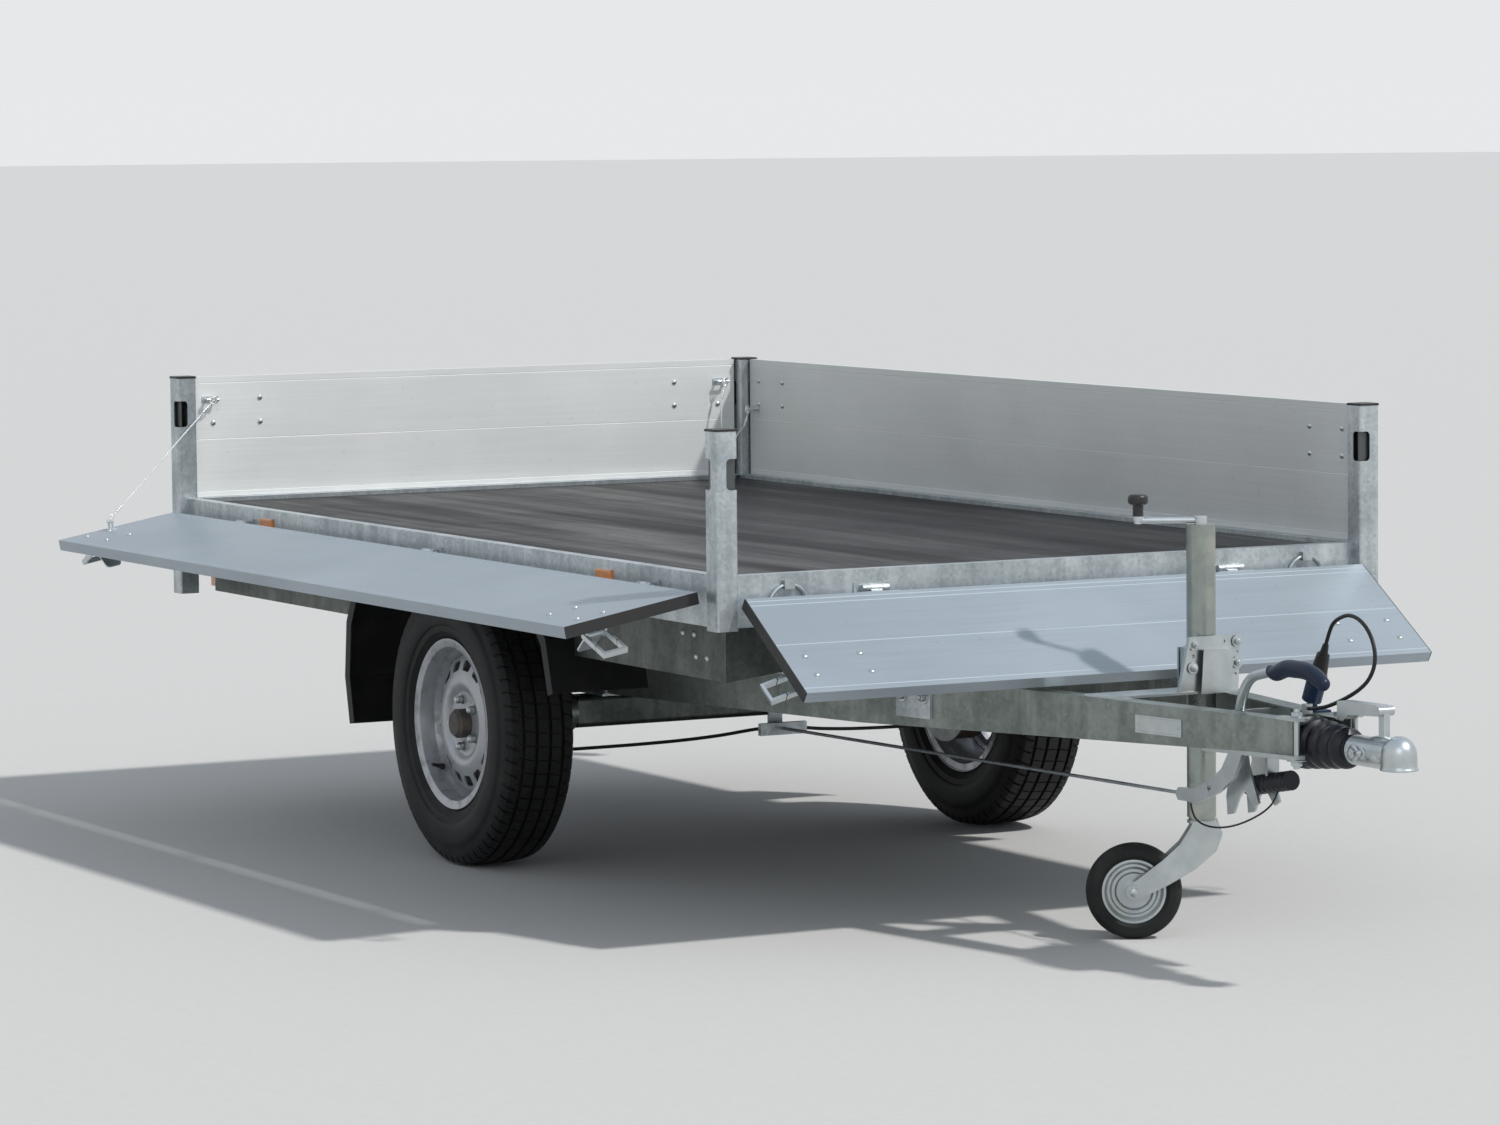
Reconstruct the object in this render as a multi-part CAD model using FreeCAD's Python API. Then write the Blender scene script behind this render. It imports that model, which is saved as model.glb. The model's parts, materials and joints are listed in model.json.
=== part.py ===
# Flatbed utility trailer: one braked axle, a V drawbar, four drop boards on hinges and a jockey wheel.
# Millimetres. The origin is the centre of the ball socket, +X points forward, +Y to the trailer's left
# and +Z up. Heights in the tables below are above the ground, and stations run rearward from the front
# of the bed; up() and back() turn them into the part's own Z and X.
import FreeCAD, Part
import math
import os

from FreeCAD import Vector

os.makedirs("parts", exist_ok=True)

# Overall layout
BALL_HEIGHT = 461.0
HITCH_TO_BED = 1251.0
BED_LENGTH = 2893.0
BED_WIDTH = 1630.0
AXLE_STATION = 1431.0
RUNNING_GAP = 0.3
PIN_CLEARANCE = 0.08

# Bed frame: folded rails, plywood floor and cross members
RAIL_TOP = 758.0
RAIL_HEIGHT = 108.0
RAIL_INSET = 25.0
RAIL_WALL = 3.0
RAIL_TOP_FLANGE = 30.0
RAIL_BOTTOM_FLANGE = 45.0
RAIL_LIP = 25.0
RAIL_NOTCH_REACH = 200.0
FLOOR_THICKNESS = 15.0
FLOOR_GAP = 1.0
MEMBER_WALL = 3.0
MEMBER_FLANGE = 45.0
MEMBER_STATIONS = (330.0, AXLE_STATION - 551, AXLE_STATION - 11, AXLE_STATION + 531, BED_LENGTH - 353)

# Corner posts and caps
POST_SIZE = 50.0
POST_WALL = 3.0
POST_TOP = 1056.0
POST_SEAM = RAIL_TOP - 5
POST_SEAM_DEPTH = 0.7
POST_SEAM_WIDTH = 2.0
FRONT_POST_FOOT = RAIL_TOP - 112
REAR_POST_FOOT = RAIL_TOP - 236
POST_CORNER_RADIUS = 5.0
CAP_THICKNESS = 5.0
CAP_OVERHANG = 1.5
CAP_CHAMFER = 1.5
CAP_PLUG_DEPTH = 14.0
SLOT_LOW = POST_TOP - 120
SLOT_HIGH = POST_TOP - 56
NOTCH_REACH = 26.0
NOTCH_ROUND = 9.0
KEEPER_DEPTH = 8.0
KEEPER_MARGIN = 6.0

# Drop boards: hollow extrusions turning on pins below their lower edge
BOARD_THICKNESS = 25.0
BOARD_ABOVE_POST = 1.0
BOARD_WALL = 1.8
BOARD_CHAMBERS = 6
BOARD_GROOVE = 1.2
BOARD_END_GAP = 6.0
BOARD_CAP = 2.0
PIN_HEIGHT = RAIL_TOP - 39
PIN_RADIUS = 4.0
PIN_HALF_LENGTH = 31.2
KNUCKLE_RADIUS = 7.5
KNUCKLE_LENGTH = 26.0
KNUCKLE_GAP = 0.5
PIN_BELOW_BOARD = 28.0
BOARD_HEIGHT = POST_TOP + BOARD_ABOVE_POST - PIN_HEIGHT - PIN_BELOW_BOARD
LEAF_THICKNESS = 4.0
LEAF_WIDTH = 90.0
LEAF_DEPTH = 40.0
LEAF_ABOVE_PIN = 12.0
TAB_THICKNESS = 4.0
SIDE_OPEN_DEG = 100.4
SIDE_HINGE_STATIONS = (345.0, BED_LENGTH / 2 - 35, BED_LENGTH - 415)
END_HINGE_PLACE = 438.0
FRONT_OPEN_DEG = 123.5

# Places of the boards' long grooves, as shares of their height
GROOVE_SHARES = (0.035, 0.08, 0.5, 0.95)

# Board latches: a riveted plate, a pin on two ears, a hooked loop and its pull lever
LATCH_RIVET_LENGTH = 127.0
LATCH_RIVET_HEIGHT = 60.0
LATCH_RIVET_RADIUS = 4.0
LATCH_RIVET_HEAD = 2.0
LATCH_FROM_END = 112.0
LATCH_BELOW_TOP = 85.0
LATCH_FROM_PIN = PIN_BELOW_BOARD + BOARD_HEIGHT - LATCH_BELOW_TOP
LATCH_PLATE_THICKNESS = 3.0
LATCH_MARGIN = 12.0
LATCH_PIN_FROM_END = 50.0
LATCH_PIN_OUT = 14.0
LATCH_PIN_RADIUS = 6.0
LATCH_EAR_RADIUS = 10.0
LATCH_EAR_THICKNESS = 5.0
LOOP_HALF = 28.0
LOOP_BEYOND = 33.0
LOOP_OUT = 48.0
LOOP_BAR = 7.0
LOOP_DEPTH = 12.0
CLOSED_LOOP_BEYOND = 24.0
CLOSED_LOOP_OUT = -1.0
CLOSED_LOOP_DEPTH = 6.0
LEVER_HALF = 20.0
LEVER_INBOARD = 58.0
LEVER_OUT = 52.0
CLOSED_LEVER_INBOARD = 76.0
CLOSED_LEVER_OUT = 12.0
LEVER_THICKNESS = 4.0
LEVER_CORNER = 9.0

# Deep folded panels under the rails
PANEL_BOTTOM = RAIL_TOP - 232
PANEL_LINE = BED_WIDTH / 2 - 95
PANEL_WALL = 3.0
PANEL_FLANGE = 38.0
PANEL_FRONT_STATION = 138.0
BEAM_FLANGE = 40.0
BEAM_CENTRE_BOTTOM = PANEL_BOTTOM + 19
BEAM_RISE_WIDTH = 160.0
INNER_LINE = BED_WIDTH / 2 - 275
BEAM_STATIONS = (PANEL_FRONT_STATION, BED_LENGTH - POST_SIZE)
AXLE_BEAM_STATIONS = (AXLE_STATION - 421, AXLE_STATION - 39)
AXLE_BEAM_FLANGE = 80.0

# Drawbar
ARM_FRONT_X = -262.0
ARM_FRONT_OUTER = 70.0
ARM_TAPER_DEG = 9.4
ARM_TOP = BALL_HEIGHT + 50
ARM_FRONT_BOTTOM = ARM_TOP - 67
ARM_DEEP_STATION = 340.0
ARM_DEEP_BOTTOM = ARM_TOP - 112
ARM_WALL = 4.0
ARM_FLANGE = 46.0
ARM_BEFORE_TUBE = 150.0
ARM_END_STATION = AXLE_STATION + 34
ARM_END_CHAMFER = 70.0
PAD_THICKNESS = 5.0
PAD_HALF_LENGTH = 60.0
PAD_HALF_WIDTH = 30.0
BRACKET_HALF_LENGTH = 55.0
BRACKET_THICKNESS = 6.0
BRACKET_BOTTOM = 425.0

# Axle and wheels
WHEEL_RADIUS = 323.0
TUBE_STATION = AXLE_STATION - 131
TUBE_HEIGHT = WHEEL_RADIUS + 27
TUBE_SIZE = 72.0
TUBE_WALL = 5.0
TUBE_CORNER = 12.0
TUBE_HALF_LENGTH = INNER_LINE - 35
SWING_ARM_THICKNESS = 34.0
SWING_ARM_END_RADIUS = 42.0
SWING_ARM_NARROWING = 6.0
SWING_CORE_LENGTH = 180.0
SWING_CORE_GAP = 6.0
ARM_BOSS_RADIUS = 36.0
WHEEL_OUTSIDE_TUBE = 164.0
TYRE_WIDTH = 185.0
TYRE_WALL = 11.0
BEAD_RADIUS = 178.0
RIM_LIP_RADIUS = 195.0
RIM_WIDTH = 156.0
RIM_WELL_RADIUS = 160.0
RIM_WALL = 3.0
RIM_DISC_OFFSET = 32.0
HUB_RADIUS = 57.0
STUD_CIRCLE = 112.0
STUD_COUNT = 5
STUD_RADIUS = 7.0
VENT_COUNT = 15
VENT_CIRCLE_RADIUS = 133.0
VENT_LENGTH = 26.0
VENT_WIDTH = 13.0
DRUM_RADIUS = 115.0
DRUM_DEPTH = 62.0
DRUM_WALL = 9.0
DRUM_NECK_RADIUS = 82.0
PILOT_RADIUS = 33.0
BACKPLATE_RADIUS = 119.0
BACKPLATE_THICKNESS = 4.0
PLATE_CORNER = 8.0
BACKPLATE_GAP = 2.0
STUB_RADIUS = 17.0
STUB_OUTSIDE_DISC = 24.0
WHEEL_CENTRE_Y = TUBE_HALF_LENGTH + WHEEL_OUTSIDE_TUBE
ARM_INNER_Y = TUBE_HALF_LENGTH + RUNNING_GAP
BACKPLATE_Y = ARM_INNER_Y + SWING_ARM_THICKNESS + 8
DRUM_INNER_Y = BACKPLATE_Y + BACKPLATE_THICKNESS + BACKPLATE_GAP
DISC_Y = WHEEL_CENTRE_Y + RIM_DISC_OFFSET
STUB_END_Y = DISC_Y + STUB_OUTSIDE_DISC

# Mudguards: (station from the axle, height above the tyre's top) of the arch's corners, front to rear
GUARD_INNER = INNER_LINE + RUNNING_GAP
GUARD_OUTER = BED_WIDTH / 2 - 40
GUARD_UNDER_RAIL = GUARD_OUTER - 33
GUARD_CORNERS = ((-585, -201), (-551, -86), (-446, 22), (-311, 66), (319, 66), (437, 4), (504, -126),
                 (517, -256), (494, -366))
GUARD_FRONT = AXLE_STATION - 585
GUARD_REAR = AXLE_STATION + 517
GUARD_TOP_FRONT = AXLE_STATION - 446
GUARD_TOP_REAR = AXLE_STATION + 437
GUARD_GAP = 6.0
GUARD_WALL = 3.5
GUARD_SKIRT = 26.0

# Overrun coupling
HOUSING_REAR_X = -560.0
HOUSING_FRONT_X = -330.0
HOUSING_TUBE_RADIUS = 36.0
HOUSING_BORE_RADIUS = 26.0
COLLAR_RADIUS = 44.0
COLLAR_REAR_X = -357.0
DRAW_TUBE_RADIUS = 25.0
DRAW_TUBE_FRONT_X = -90.0
DRAW_TUBE_TAIL = 20.0
BELLOWS_REAR_X = -342.0
BELLOWS_CUFF = 12.0
BELLOWS_FRONT_X = -150.0
BELLOWS_RADIUS = 54.0
BELLOWS_VALLEY = 43.0
BELLOWS_FOLDS = 5
BELLOWS_WALL = 3.0
BELLOWS_TAPER = 0.06
HANGER_HALF_LENGTH = 4.0
HANGER_HALF_WIDTH = 14.0
COVER_REAR_X = -520.0
COVER_REAR_HEIGHT = 352.0
COVER_FRONT_X = -372.0
COVER_FRONT_HEIGHT = 378.0
COVER_RADIUS = 20.0
COVER_VALLEY = 17.5
COVER_RIBS = 9
COVER_HANGER_X = -440.0
SOCKET_RADIUS = 25.2
HEAD_SKIRT = 26.0
HEAD_DOME_RADIUS = 34.0
HEAD_RIM_RADIUS = 38.5
HEAD_RIM_THICKNESS = 7.5
HEAD_TOP = 40.0
HEAD_PLATEAU = 15.0
HEAD_BOLT_X = -112.0
HEAD_BOLT_HALF = 42.0

# Coupling head's neck: (x, half width, underside, top, corner radius), rear to front
HEAD_SECTIONS = ((-146.0, 31.0, -30.0, 31.0, 22.0), (-100.0, 30.0, -28.0, 30.0, 20.0),
                 (-50.0, 29.0, -26.0, 32.0, 17.0), (-10.0, 31.0, -26.0, 37.0, 16.0))

# Coupling handle: (x, lower edge, upper edge) of its folded channel above the origin, rear to front
HANDLE_SIDES = ((-190.0, 56.0, 92.0), (-172.0, 54.0, 93.0), (-150.0, 68.0, 93.5), (-62.0, 73.0, 95.0),
                (-42.0, 76.0, 91.0))
HANDLE_HALF = 15.0
HANDLE_WALL = 2.5
HANDLE_PIVOT_X = -50.0
HANDLE_PIVOT_Z = 84.0
HANDLE_PIVOT_RADIUS = 10.0
LINK_HALF = 7.0
LINK_LENGTH = 18.0

# Straps that clamp the housing between the arms' front ends
STRAP_REACH = 24.0
STRAP_INNER = 57.0
STRAP_OUTER = 88.0
STRAP_THICKNESS = 9.0
BOLT_RADIUS = 6.0

# Handbrake: (x, height above the origin) of the lever tube's bends
HANDBRAKE_Y = -48.5
HANDBRAKE_TUBE_RADIUS = 10.0
CHEEK_THICKNESS = 8.0
PIVOT_RADIUS = 13.0
PIVOT_HEIGHT = 5.0
LEVER_BENDS = ((-484.0, -12.0), (-484.0, 60.0), (-450.0, 118.0), (-370.0, 136.0))

# Handbrake grip: (x, height above the origin, radius, slope) of its sections, rear to front
GRIP_SECTIONS = ((-352.0, 134.0, 15.5, 0.35), (-330.0, 142.0, 17.0, 0.27), (-290.0, 148.0, 17.5, 0.06),
                 (-245.0, 147.0, 17.0, -0.18), (-210.0, 138.0, 16.0, -0.38), (-188.0, 127.0, 14.0, -0.6))

# Brake cheek: (x, height) corners of the plate that carries the lever and pulls the rod
CHEEK_CORNERS = ((-456, 500), (-512, 500), (-514, 430), (-545, 388), (-575, 368), (-640, 338), (-706, 334),
                 (-716, 321), (-706, 308), (-634, 310), (-560, 336), (-500, 372), (-466, 430))
CHEEK_LIGHTENING_X = -588.0
CHEEK_LIGHTENING_HEIGHT = 346.0
CHEEK_LIGHTENING_RADIUS = 9.0

# Damper bracket: (x, height) corners of the two plates that hold the damper's rear end
DAMPER_CORNERS = ((-556, 470), (-500, 470), (-486, 400), (-448, 326), (-466, 316), (-500, 348), (-520, 330),
                  (-540, 296), (-562, 292), (-566, 330), (-548, 400))
DAMPER_PLATE_Y = 22.0
DAMPER_PLATE_THICKNESS = 5.0

# Jockey wheel
JOCKEY_X = -831.0
JOCKEY_Y = 85.0
JOCKEY_TUBE_RADIUS = 30.0
JOCKEY_TUBE_WALL = 3.0
JOCKEY_TUBE_TOP = 855.0
JOCKEY_TUBE_FOOT = 252.0
JOCKEY_LEG_LENGTH = 260.0
JOCKEY_TRAIL = 140.0
JOCKEY_TRAIL_DEG = 239.5
JOCKEY_WHEEL_RADIUS = 99.0
JOCKEY_WHEEL_WIDTH = 50.0
JOCKEY_RIM_RADIUS = 66.0
FORK_PLATE = 4.0
FORK_INSIDE = 29.0
FORK_TIP_RADIUS = 17.0
FORK_BEND_RADIUS = 10.0
FORK_PIN_RADIUS = 7.0
FORK_HEAD_THICKNESS = 6.0

# Fork plates: (distance behind the swivel axis, height above the ground) of their corners
FORK_CORNERS = ((-32, 245), (-42, 220), (-29, 184), (14, 146), (73, 112), (130, 86), (150, 112), (78, 168),
                (46, 198), (26, 230), (18, 245))
FORK_RIB = ((62, 153), (112, 118))
FORK_RIB_RADIUS = 6.0
FORK_RIB_HEIGHT = 2.5
CRANK_REACH = 128.0
CRANK_RADIUS = 6.0
CRANK_BOSS_RADIUS = 13.0
CRANK_BOSS_HEIGHT = 16.0
KNOB_NECK_RADIUS = 11.0
KNOB_RADIUS = 21.0
KNOB_HEAD = 22.0
KNOB_ROUND = 8.0
KNOB_HEIGHT = 54.0

# Jockey clamp on the drawbar
CLAMP_PLATE_TOP = 628.0
CLAMP_PLATE_THICKNESS = 5.0
CLAMP_RING_WALL = 6.0
CLAMP_RING_LOW = 530.0
CLAMP_RING_HIGH = 604.0
CLAMP_BASE_HALF = 46.0
CLAMP_EAR_REACH = 16.0
CLAMP_SLIT_HALF = 3.0
CLAMP_FOLD = 10.0

# (place to the left of the jockey tube, height) of the clamp plate's corners, bolts and holes
CLAMP_CORNERS = ((-84, ARM_TOP), (64, ARM_TOP), (70, CLAMP_PLATE_TOP), (-56, CLAMP_PLATE_TOP))
CLAMP_BOLTS = ((-44, 612), (-47, 564), (60, 614), (60, 570))
CLAMP_BOLT_RADIUS = 6.0
CLAMP_HOLES = ((29, 615), (-45, 588), (60, 592), (57, 547))
CLAMP_HOLE_RADIUS = 4.0
TAG_CORNERS = ((-34, ARM_TOP), (38, ARM_TOP), (44, 600), (-28, 602))
TAG_STANDOFF = 12.0
TAG_THICKNESS = 2.0

# Rear lamps, plate, reflectors and lashing rings
LAMP_LENGTH = 232.0
LAMP_HEIGHT = 96.0
LAMP_DEPTH = 44.0
LAMP_OUTER = PANEL_LINE - 2
LAMP_LOW = PANEL_BOTTOM + 10
LAMP_ROUND = 8.0
PLATE_LENGTH = 520.0
PLATE_HEIGHT = 92.0
PLATE_THICKNESS = 4.0
REFLECTOR_STATIONS = (557.0, BED_LENGTH - 537)
REFLECTOR_HEIGHT = RAIL_TOP - 34
REFLECTOR_LENGTH = 72.0
REFLECTOR_DEPTH = 28.0
REFLECTOR_THICKNESS = 6.0
REFLECTOR_CHAMFER = 2.0
RING_PLACE = BED_WIDTH / 2 - 177
RING_HEIGHT = RAIL_TOP - 68
RING_STAPLE_HALF = 12.0
RING_RADIUS = 45.0
RING_BAR = 4.0

# Brake rod and cables
ROD_RADIUS = 4.0
ROD_FRONT_X = -704.0
ROD_FRONT_HEIGHT = 321.0
ROD_REAR_HEIGHT = 287.0
ROD_BEFORE_TUBE = 40.0
BALANCE_HALF = 60.0
BALANCE_DEPTH = 14.0
BALANCE_HEIGHT = 28.0
BALANCE_STRAP_HALF = 18.0
BRAKE_CABLE_RADIUS = 4.0

# Corner cables between the rear board and the side boards
CABLE_RADIUS = 2.2
EYE_PLACE = BED_WIDTH / 2 - 97
EYE_FROM_PIN = PIN_BELOW_BOARD + BOARD_HEIGHT - 56
STAPLE_FROM_END = 20.0
STAPLE_FROM_PIN = 210.0
STAPLE_HEIGHT = 20.0
STAPLE_HALF = 12.0
STAPLE_LEG = 3.0
STAPLE_BAR = 3.5
STAPLE_FOOT = 10.0

# The slack cable's route below its upper eye, as offsets from that end
SLACK_ROUTE = ((6, -12, -50), (10, -18, -110), (14, -8, -160), (16, 14, -172), (14, 26, -140))
STAPLE_FOOT_HALF = 8.0

# Electric plug, its holder and the leads
HOLDER_X = -358.0
HOLDER_Y = 50.0
HOLDER_RADIUS = 20.0
HOLDER_TOP = 572.0
PLUG_RADIUS = 17.0
PLUG_LENGTH = 62.0
PLUG_TAPER = 22.0
PLUG_SKIRT = 16.0
HOLDER_LENGTH = 40.0
HOLDER_STRAP_HALF = 14.0
CLIP_X = -350.0
CLIP_HALF = 6.0
PLUG_LEAN_DEG = 24.0
LEAD_RADIUS = 4.0
SAFETY_RADIUS = 2.0

GROUND = -BALL_HEIGHT


def up(height):
    # A height above the ground as the part's Z.
    return height + GROUND


def back(station):
    # A distance behind the bed's front edge as the part's X.
    return -HITCH_TO_BED - station


HALF_WIDTH = BED_WIDTH / 2
RAIL_LINE = HALF_WIDTH - RAIL_INSET
FLOOR_TOP = RAIL_TOP - RAIL_LIP + FLOOR_THICKNESS
MEMBER_TOP = RAIL_TOP - RAIL_LIP
RAIL_BOTTOM = RAIL_TOP - RAIL_HEIGHT
PIN_LINE = RAIL_LINE + BOARD_THICKNESS / 2
WHEEL_Z = up(WHEEL_RADIUS)
WHEEL_X = back(AXLE_STATION)
SIDE_BOARD_LENGTH = BED_LENGTH - 2 * (POST_SIZE + BOARD_END_GAP)
END_BOARD_LENGTH = BED_WIDTH - 2 * (POST_SIZE + BOARD_END_GAP)
MID_X = back(BED_LENGTH / 2)


def box(x, y, z):
    # Box from three (low, high) pairs.
    return Part.makeBox(x[1] - x[0], y[1] - y[0], z[1] - z[0], Vector(x[0], y[0], z[0]))


def face_of(points):
    return Part.Face(Part.makePolygon([Vector(*p) for p in points] + [Vector(*points[0])]))


def prism(points, direction):
    # Closed outline of 3-D points swept straight along a vector.
    return face_of(points).extrude(Vector(*direction))


def rod(start, end, radius):
    # Round bar between two points.
    a = Vector(*start)
    d = Vector(*end) - a
    return Part.makeCylinder(radius, d.Length, a, d)


def fuse(shapes):
    body = shapes[0].multiFuse(shapes[1:]) if len(shapes) > 1 else shapes[0]
    return body.removeSplitter()


def mirrored(shape):
    # The same shape on the trailer's other side.
    return shape.mirror(Vector(0, 0, 0), Vector(0, 1, 0))


def turned(shape, centre, axis, degrees):
    out = shape.copy()
    out.rotate(Vector(*centre), Vector(*axis), degrees)
    return out


def rounded_tube(x, y, z, radius):
    # Upright square bar with rounded vertical edges.
    bar = box(x, y, z)
    edges = [e for e in bar.Edges if abs(e.Vertexes[0].Z - e.Vertexes[1].Z) > 1]
    return bar.makeFillet(radius, edges)


def beside(points, distance):
    # A line parallel to an open line of (x, y) points, at a distance on its left, with mitred corners.
    normals = []
    for (xa, ya), (xb, yb) in zip(points, points[1:]):
        length = math.hypot(xb - xa, yb - ya)
        normals.append(((ya - yb) / length, (xb - xa) / length))
    moved = []
    for i, (x, y) in enumerate(points):
        (ax, ay), (bx, by) = normals[max(i - 1, 0)], normals[min(i, len(normals) - 1)]
        stretch = distance / (1 + ax * bx + ay * by)
        moved.append((x + (ax + bx) * stretch, y + (ay + by) * stretch))
    return moved


def across(edge, axis):
    # Whether an edge runs along the named axis and nowhere else.
    a, b = edge.Vertexes[0].Point, edge.Vertexes[-1].Point
    run = b - a
    return run.Length > 0.5 and abs(abs(getattr(run, axis)) - run.Length) < 1e-6


def smooth_path(points):
    # Straight runs joined by arcs whose radius is 0.45 of the shorter run over tan(half the turn).
    pts = [Vector(*p) for p in points]
    edges = []
    last = pts[0]
    radii = []
    for a, b, c in zip(pts, pts[1:], pts[2:]):
        u = b - a
        v = c - b
        shorter = min(u.Length, v.Length)
        u.normalize()
        v.normalize()
        half = u.getAngle(v) / 2
        setback = 0.45 * shorter
        radius = setback / math.tan(half)
        start = b - u * setback
        end = b + v * setback
        middle_axis = (v - u).normalize()
        centre = b + middle_axis * (radius / math.cos(half))
        mid = centre - middle_axis * radius
        if (start - last).Length > 1e-6:
            edges.append(Part.LineSegment(last, start).toShape())
        edges.append(Part.Arc(start, mid, end).toShape())
        last = end
        radii.append(round(radius, 1))
    edges.append(Part.LineSegment(last, pts[-1]).toShape())
    return Part.Wire(edges), radii


def cord_tube(name, points, radius):
    # A plain round tube along the route, with its length, volume and bend radii printed.
    path, radii = smooth_path(points)
    direction = Vector(*points[1]) - Vector(*points[0])
    ring = Part.Wire([Part.Circle(Vector(*points[0]), direction, radius).toShape()])
    tube = path.makePipeShell([ring], True, True)
    expected = math.pi * radius ** 2 * path.Length
    ratio = round(tube.Volume / expected, 4)
    print(name, "length", round(path.Length, 1), "radii", radii, "volume ratio", ratio)
    return tube


def revolved_y(profile, centre):
    # Closed outline of (radius, y) pairs turned about an axis along Y through centre.
    cx, cy, cz = centre
    points = [Vector(cx, cy + y, cz + r) for r, y in profile]
    face = Part.Face(Part.makePolygon(points + [points[0]]))
    return face.revolve(Vector(cx, cy, cz), Vector(0, 1, 0), 360)


def revolved_x(profile, centre):
    # Closed outline of (radius, x) pairs turned about an axis along X through centre.
    cx, cy, cz = centre
    points = [Vector(cx + x, cy, cz + r) for r, x in profile]
    face = Part.Face(Part.makePolygon(points + [points[0]]))
    return face.revolve(Vector(cx, cy, cz), Vector(1, 0, 0), 360)


# Bed frame

def rail_profile():
    # (inward, height) corners of the folded rail, outer face at zero.
    h = RAIL_HEIGHT
    t = RAIL_WALL
    return [(0, 0), (RAIL_BOTTOM_FLANGE, 0), (RAIL_BOTTOM_FLANGE, t), (t, t), (t, h - t),
            (RAIL_TOP_FLANGE - t, h - t), (RAIL_TOP_FLANGE - t, h - RAIL_LIP),
            (RAIL_TOP_FLANGE, h - RAIL_LIP), (RAIL_TOP_FLANGE, h), (0, h)]


def side_rails():
    length = BED_LENGTH - 2 * POST_SIZE
    points = [(back(POST_SIZE), -(RAIL_LINE - u), up(RAIL_BOTTOM) + w) for u, w in rail_profile()]
    rail = prism(points, (-length, 0, 0))
    return [rail, mirrored(rail)]


def end_rails():
    length = BED_WIDTH - 2 * POST_SIZE
    rails = []
    for station, inward in ((RAIL_INSET, -1), (BED_LENGTH - RAIL_INSET, 1)):
        points = [(back(station) + inward * u, -length / 2, up(RAIL_BOTTOM) + w) for u, w in rail_profile()]
        rail = prism(points, (0, length, 0))
        edge = RAIL_LINE - RAIL_BOTTOM_FLANGE
        face = back(station)
        notch = tuple(sorted((face + inward * (POST_SIZE - RAIL_INSET), face + inward * RAIL_NOTCH_REACH)))
        for y in ((-HALF_WIDTH, -edge), (edge, HALF_WIDTH)):
            rail = rail.cut(box(notch, y, (up(RAIL_BOTTOM) - 1, up(RAIL_TOP) + 1)))
        rails.append(rail)
    return rails


def floor_board():
    edge = RAIL_INSET + RAIL_TOP_FLANGE + FLOOR_GAP
    return [box((back(BED_LENGTH - edge), back(edge)), (-HALF_WIDTH + edge, HALF_WIDTH - edge),
                (up(MEMBER_TOP), up(FLOOR_TOP)))]


def channel(x, half, low, high, wall, flange, opening=-1):
    # A C section lying across the trailer, its web at x and its flanges pointing rearward.
    far = x + opening * flange
    near = x + opening * wall
    points = [(x, -half, low), (far, -half, low), (far, -half, low + wall), (near, -half, low + wall),
              (near, -half, high - wall), (far, -half, high - wall), (far, -half, high), (x, -half, high)]
    return prism(points, (0, 2 * half, 0))


def cross_members():
    # Those over the wheels stop at the inner channels, clear of the mudguards.
    low = up(RAIL_BOTTOM + RAIL_WALL)
    members = []
    for s in MEMBER_STATIONS:
        over_wheel = GUARD_TOP_FRONT - MEMBER_FLANGE < s < GUARD_TOP_REAR
        half = INNER_LINE if over_wheel else RAIL_LINE - RAIL_WALL
        members.append(channel(back(s), half, low, up(MEMBER_TOP), MEMBER_WALL, MEMBER_FLANGE))
    return members


def side_panels():
    # Folded sheets under the side rails, ahead of and behind the mudguards.
    low, high = up(PANEL_BOTTOM), up(RAIL_BOTTOM)
    out = -PANEL_LINE
    t = PANEL_WALL
    sheets = []
    ends = ((BEAM_STATIONS[0] + BEAM_FLANGE, GUARD_FRONT - GUARD_GAP),
            (GUARD_REAR + GUARD_GAP, BEAM_STATIONS[-1] - BEAM_FLANGE))
    for first, last in ends:
        points = [(out, high), (out - PANEL_FLANGE, high), (out - PANEL_FLANGE, high - t), (out - t, high - t),
                  (out - t, low), (out + PANEL_FLANGE, low), (out + PANEL_FLANGE, low + t), (out, low + t)]
        sheet = prism([(back(first), y, z) for y, z in points], (first - last, 0, 0))
        sheets += [sheet, mirrored(sheet)]
    return sheets


def long_members():
    # Inner channels beside the wheels, from the front beam to the rear beam.
    low, high = up(PANEL_BOTTOM), up(RAIL_BOTTOM + RAIL_WALL)
    t = MEMBER_WALL
    first, last = BEAM_STATIONS[0] + BEAM_FLANGE, BEAM_STATIONS[-1] - BEAM_FLANGE
    outer, inner = -INNER_LINE, -INNER_LINE + MEMBER_FLANGE
    points = [(outer, low), (inner, low), (inner, low + t), (outer + t, low + t), (outer + t, high - t),
              (inner, high - t), (inner, high), (outer, high)]
    member = prism([(back(first), y, z) for y, z in points], (first - last, 0, 0))
    return [member, mirrored(member)]


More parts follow.
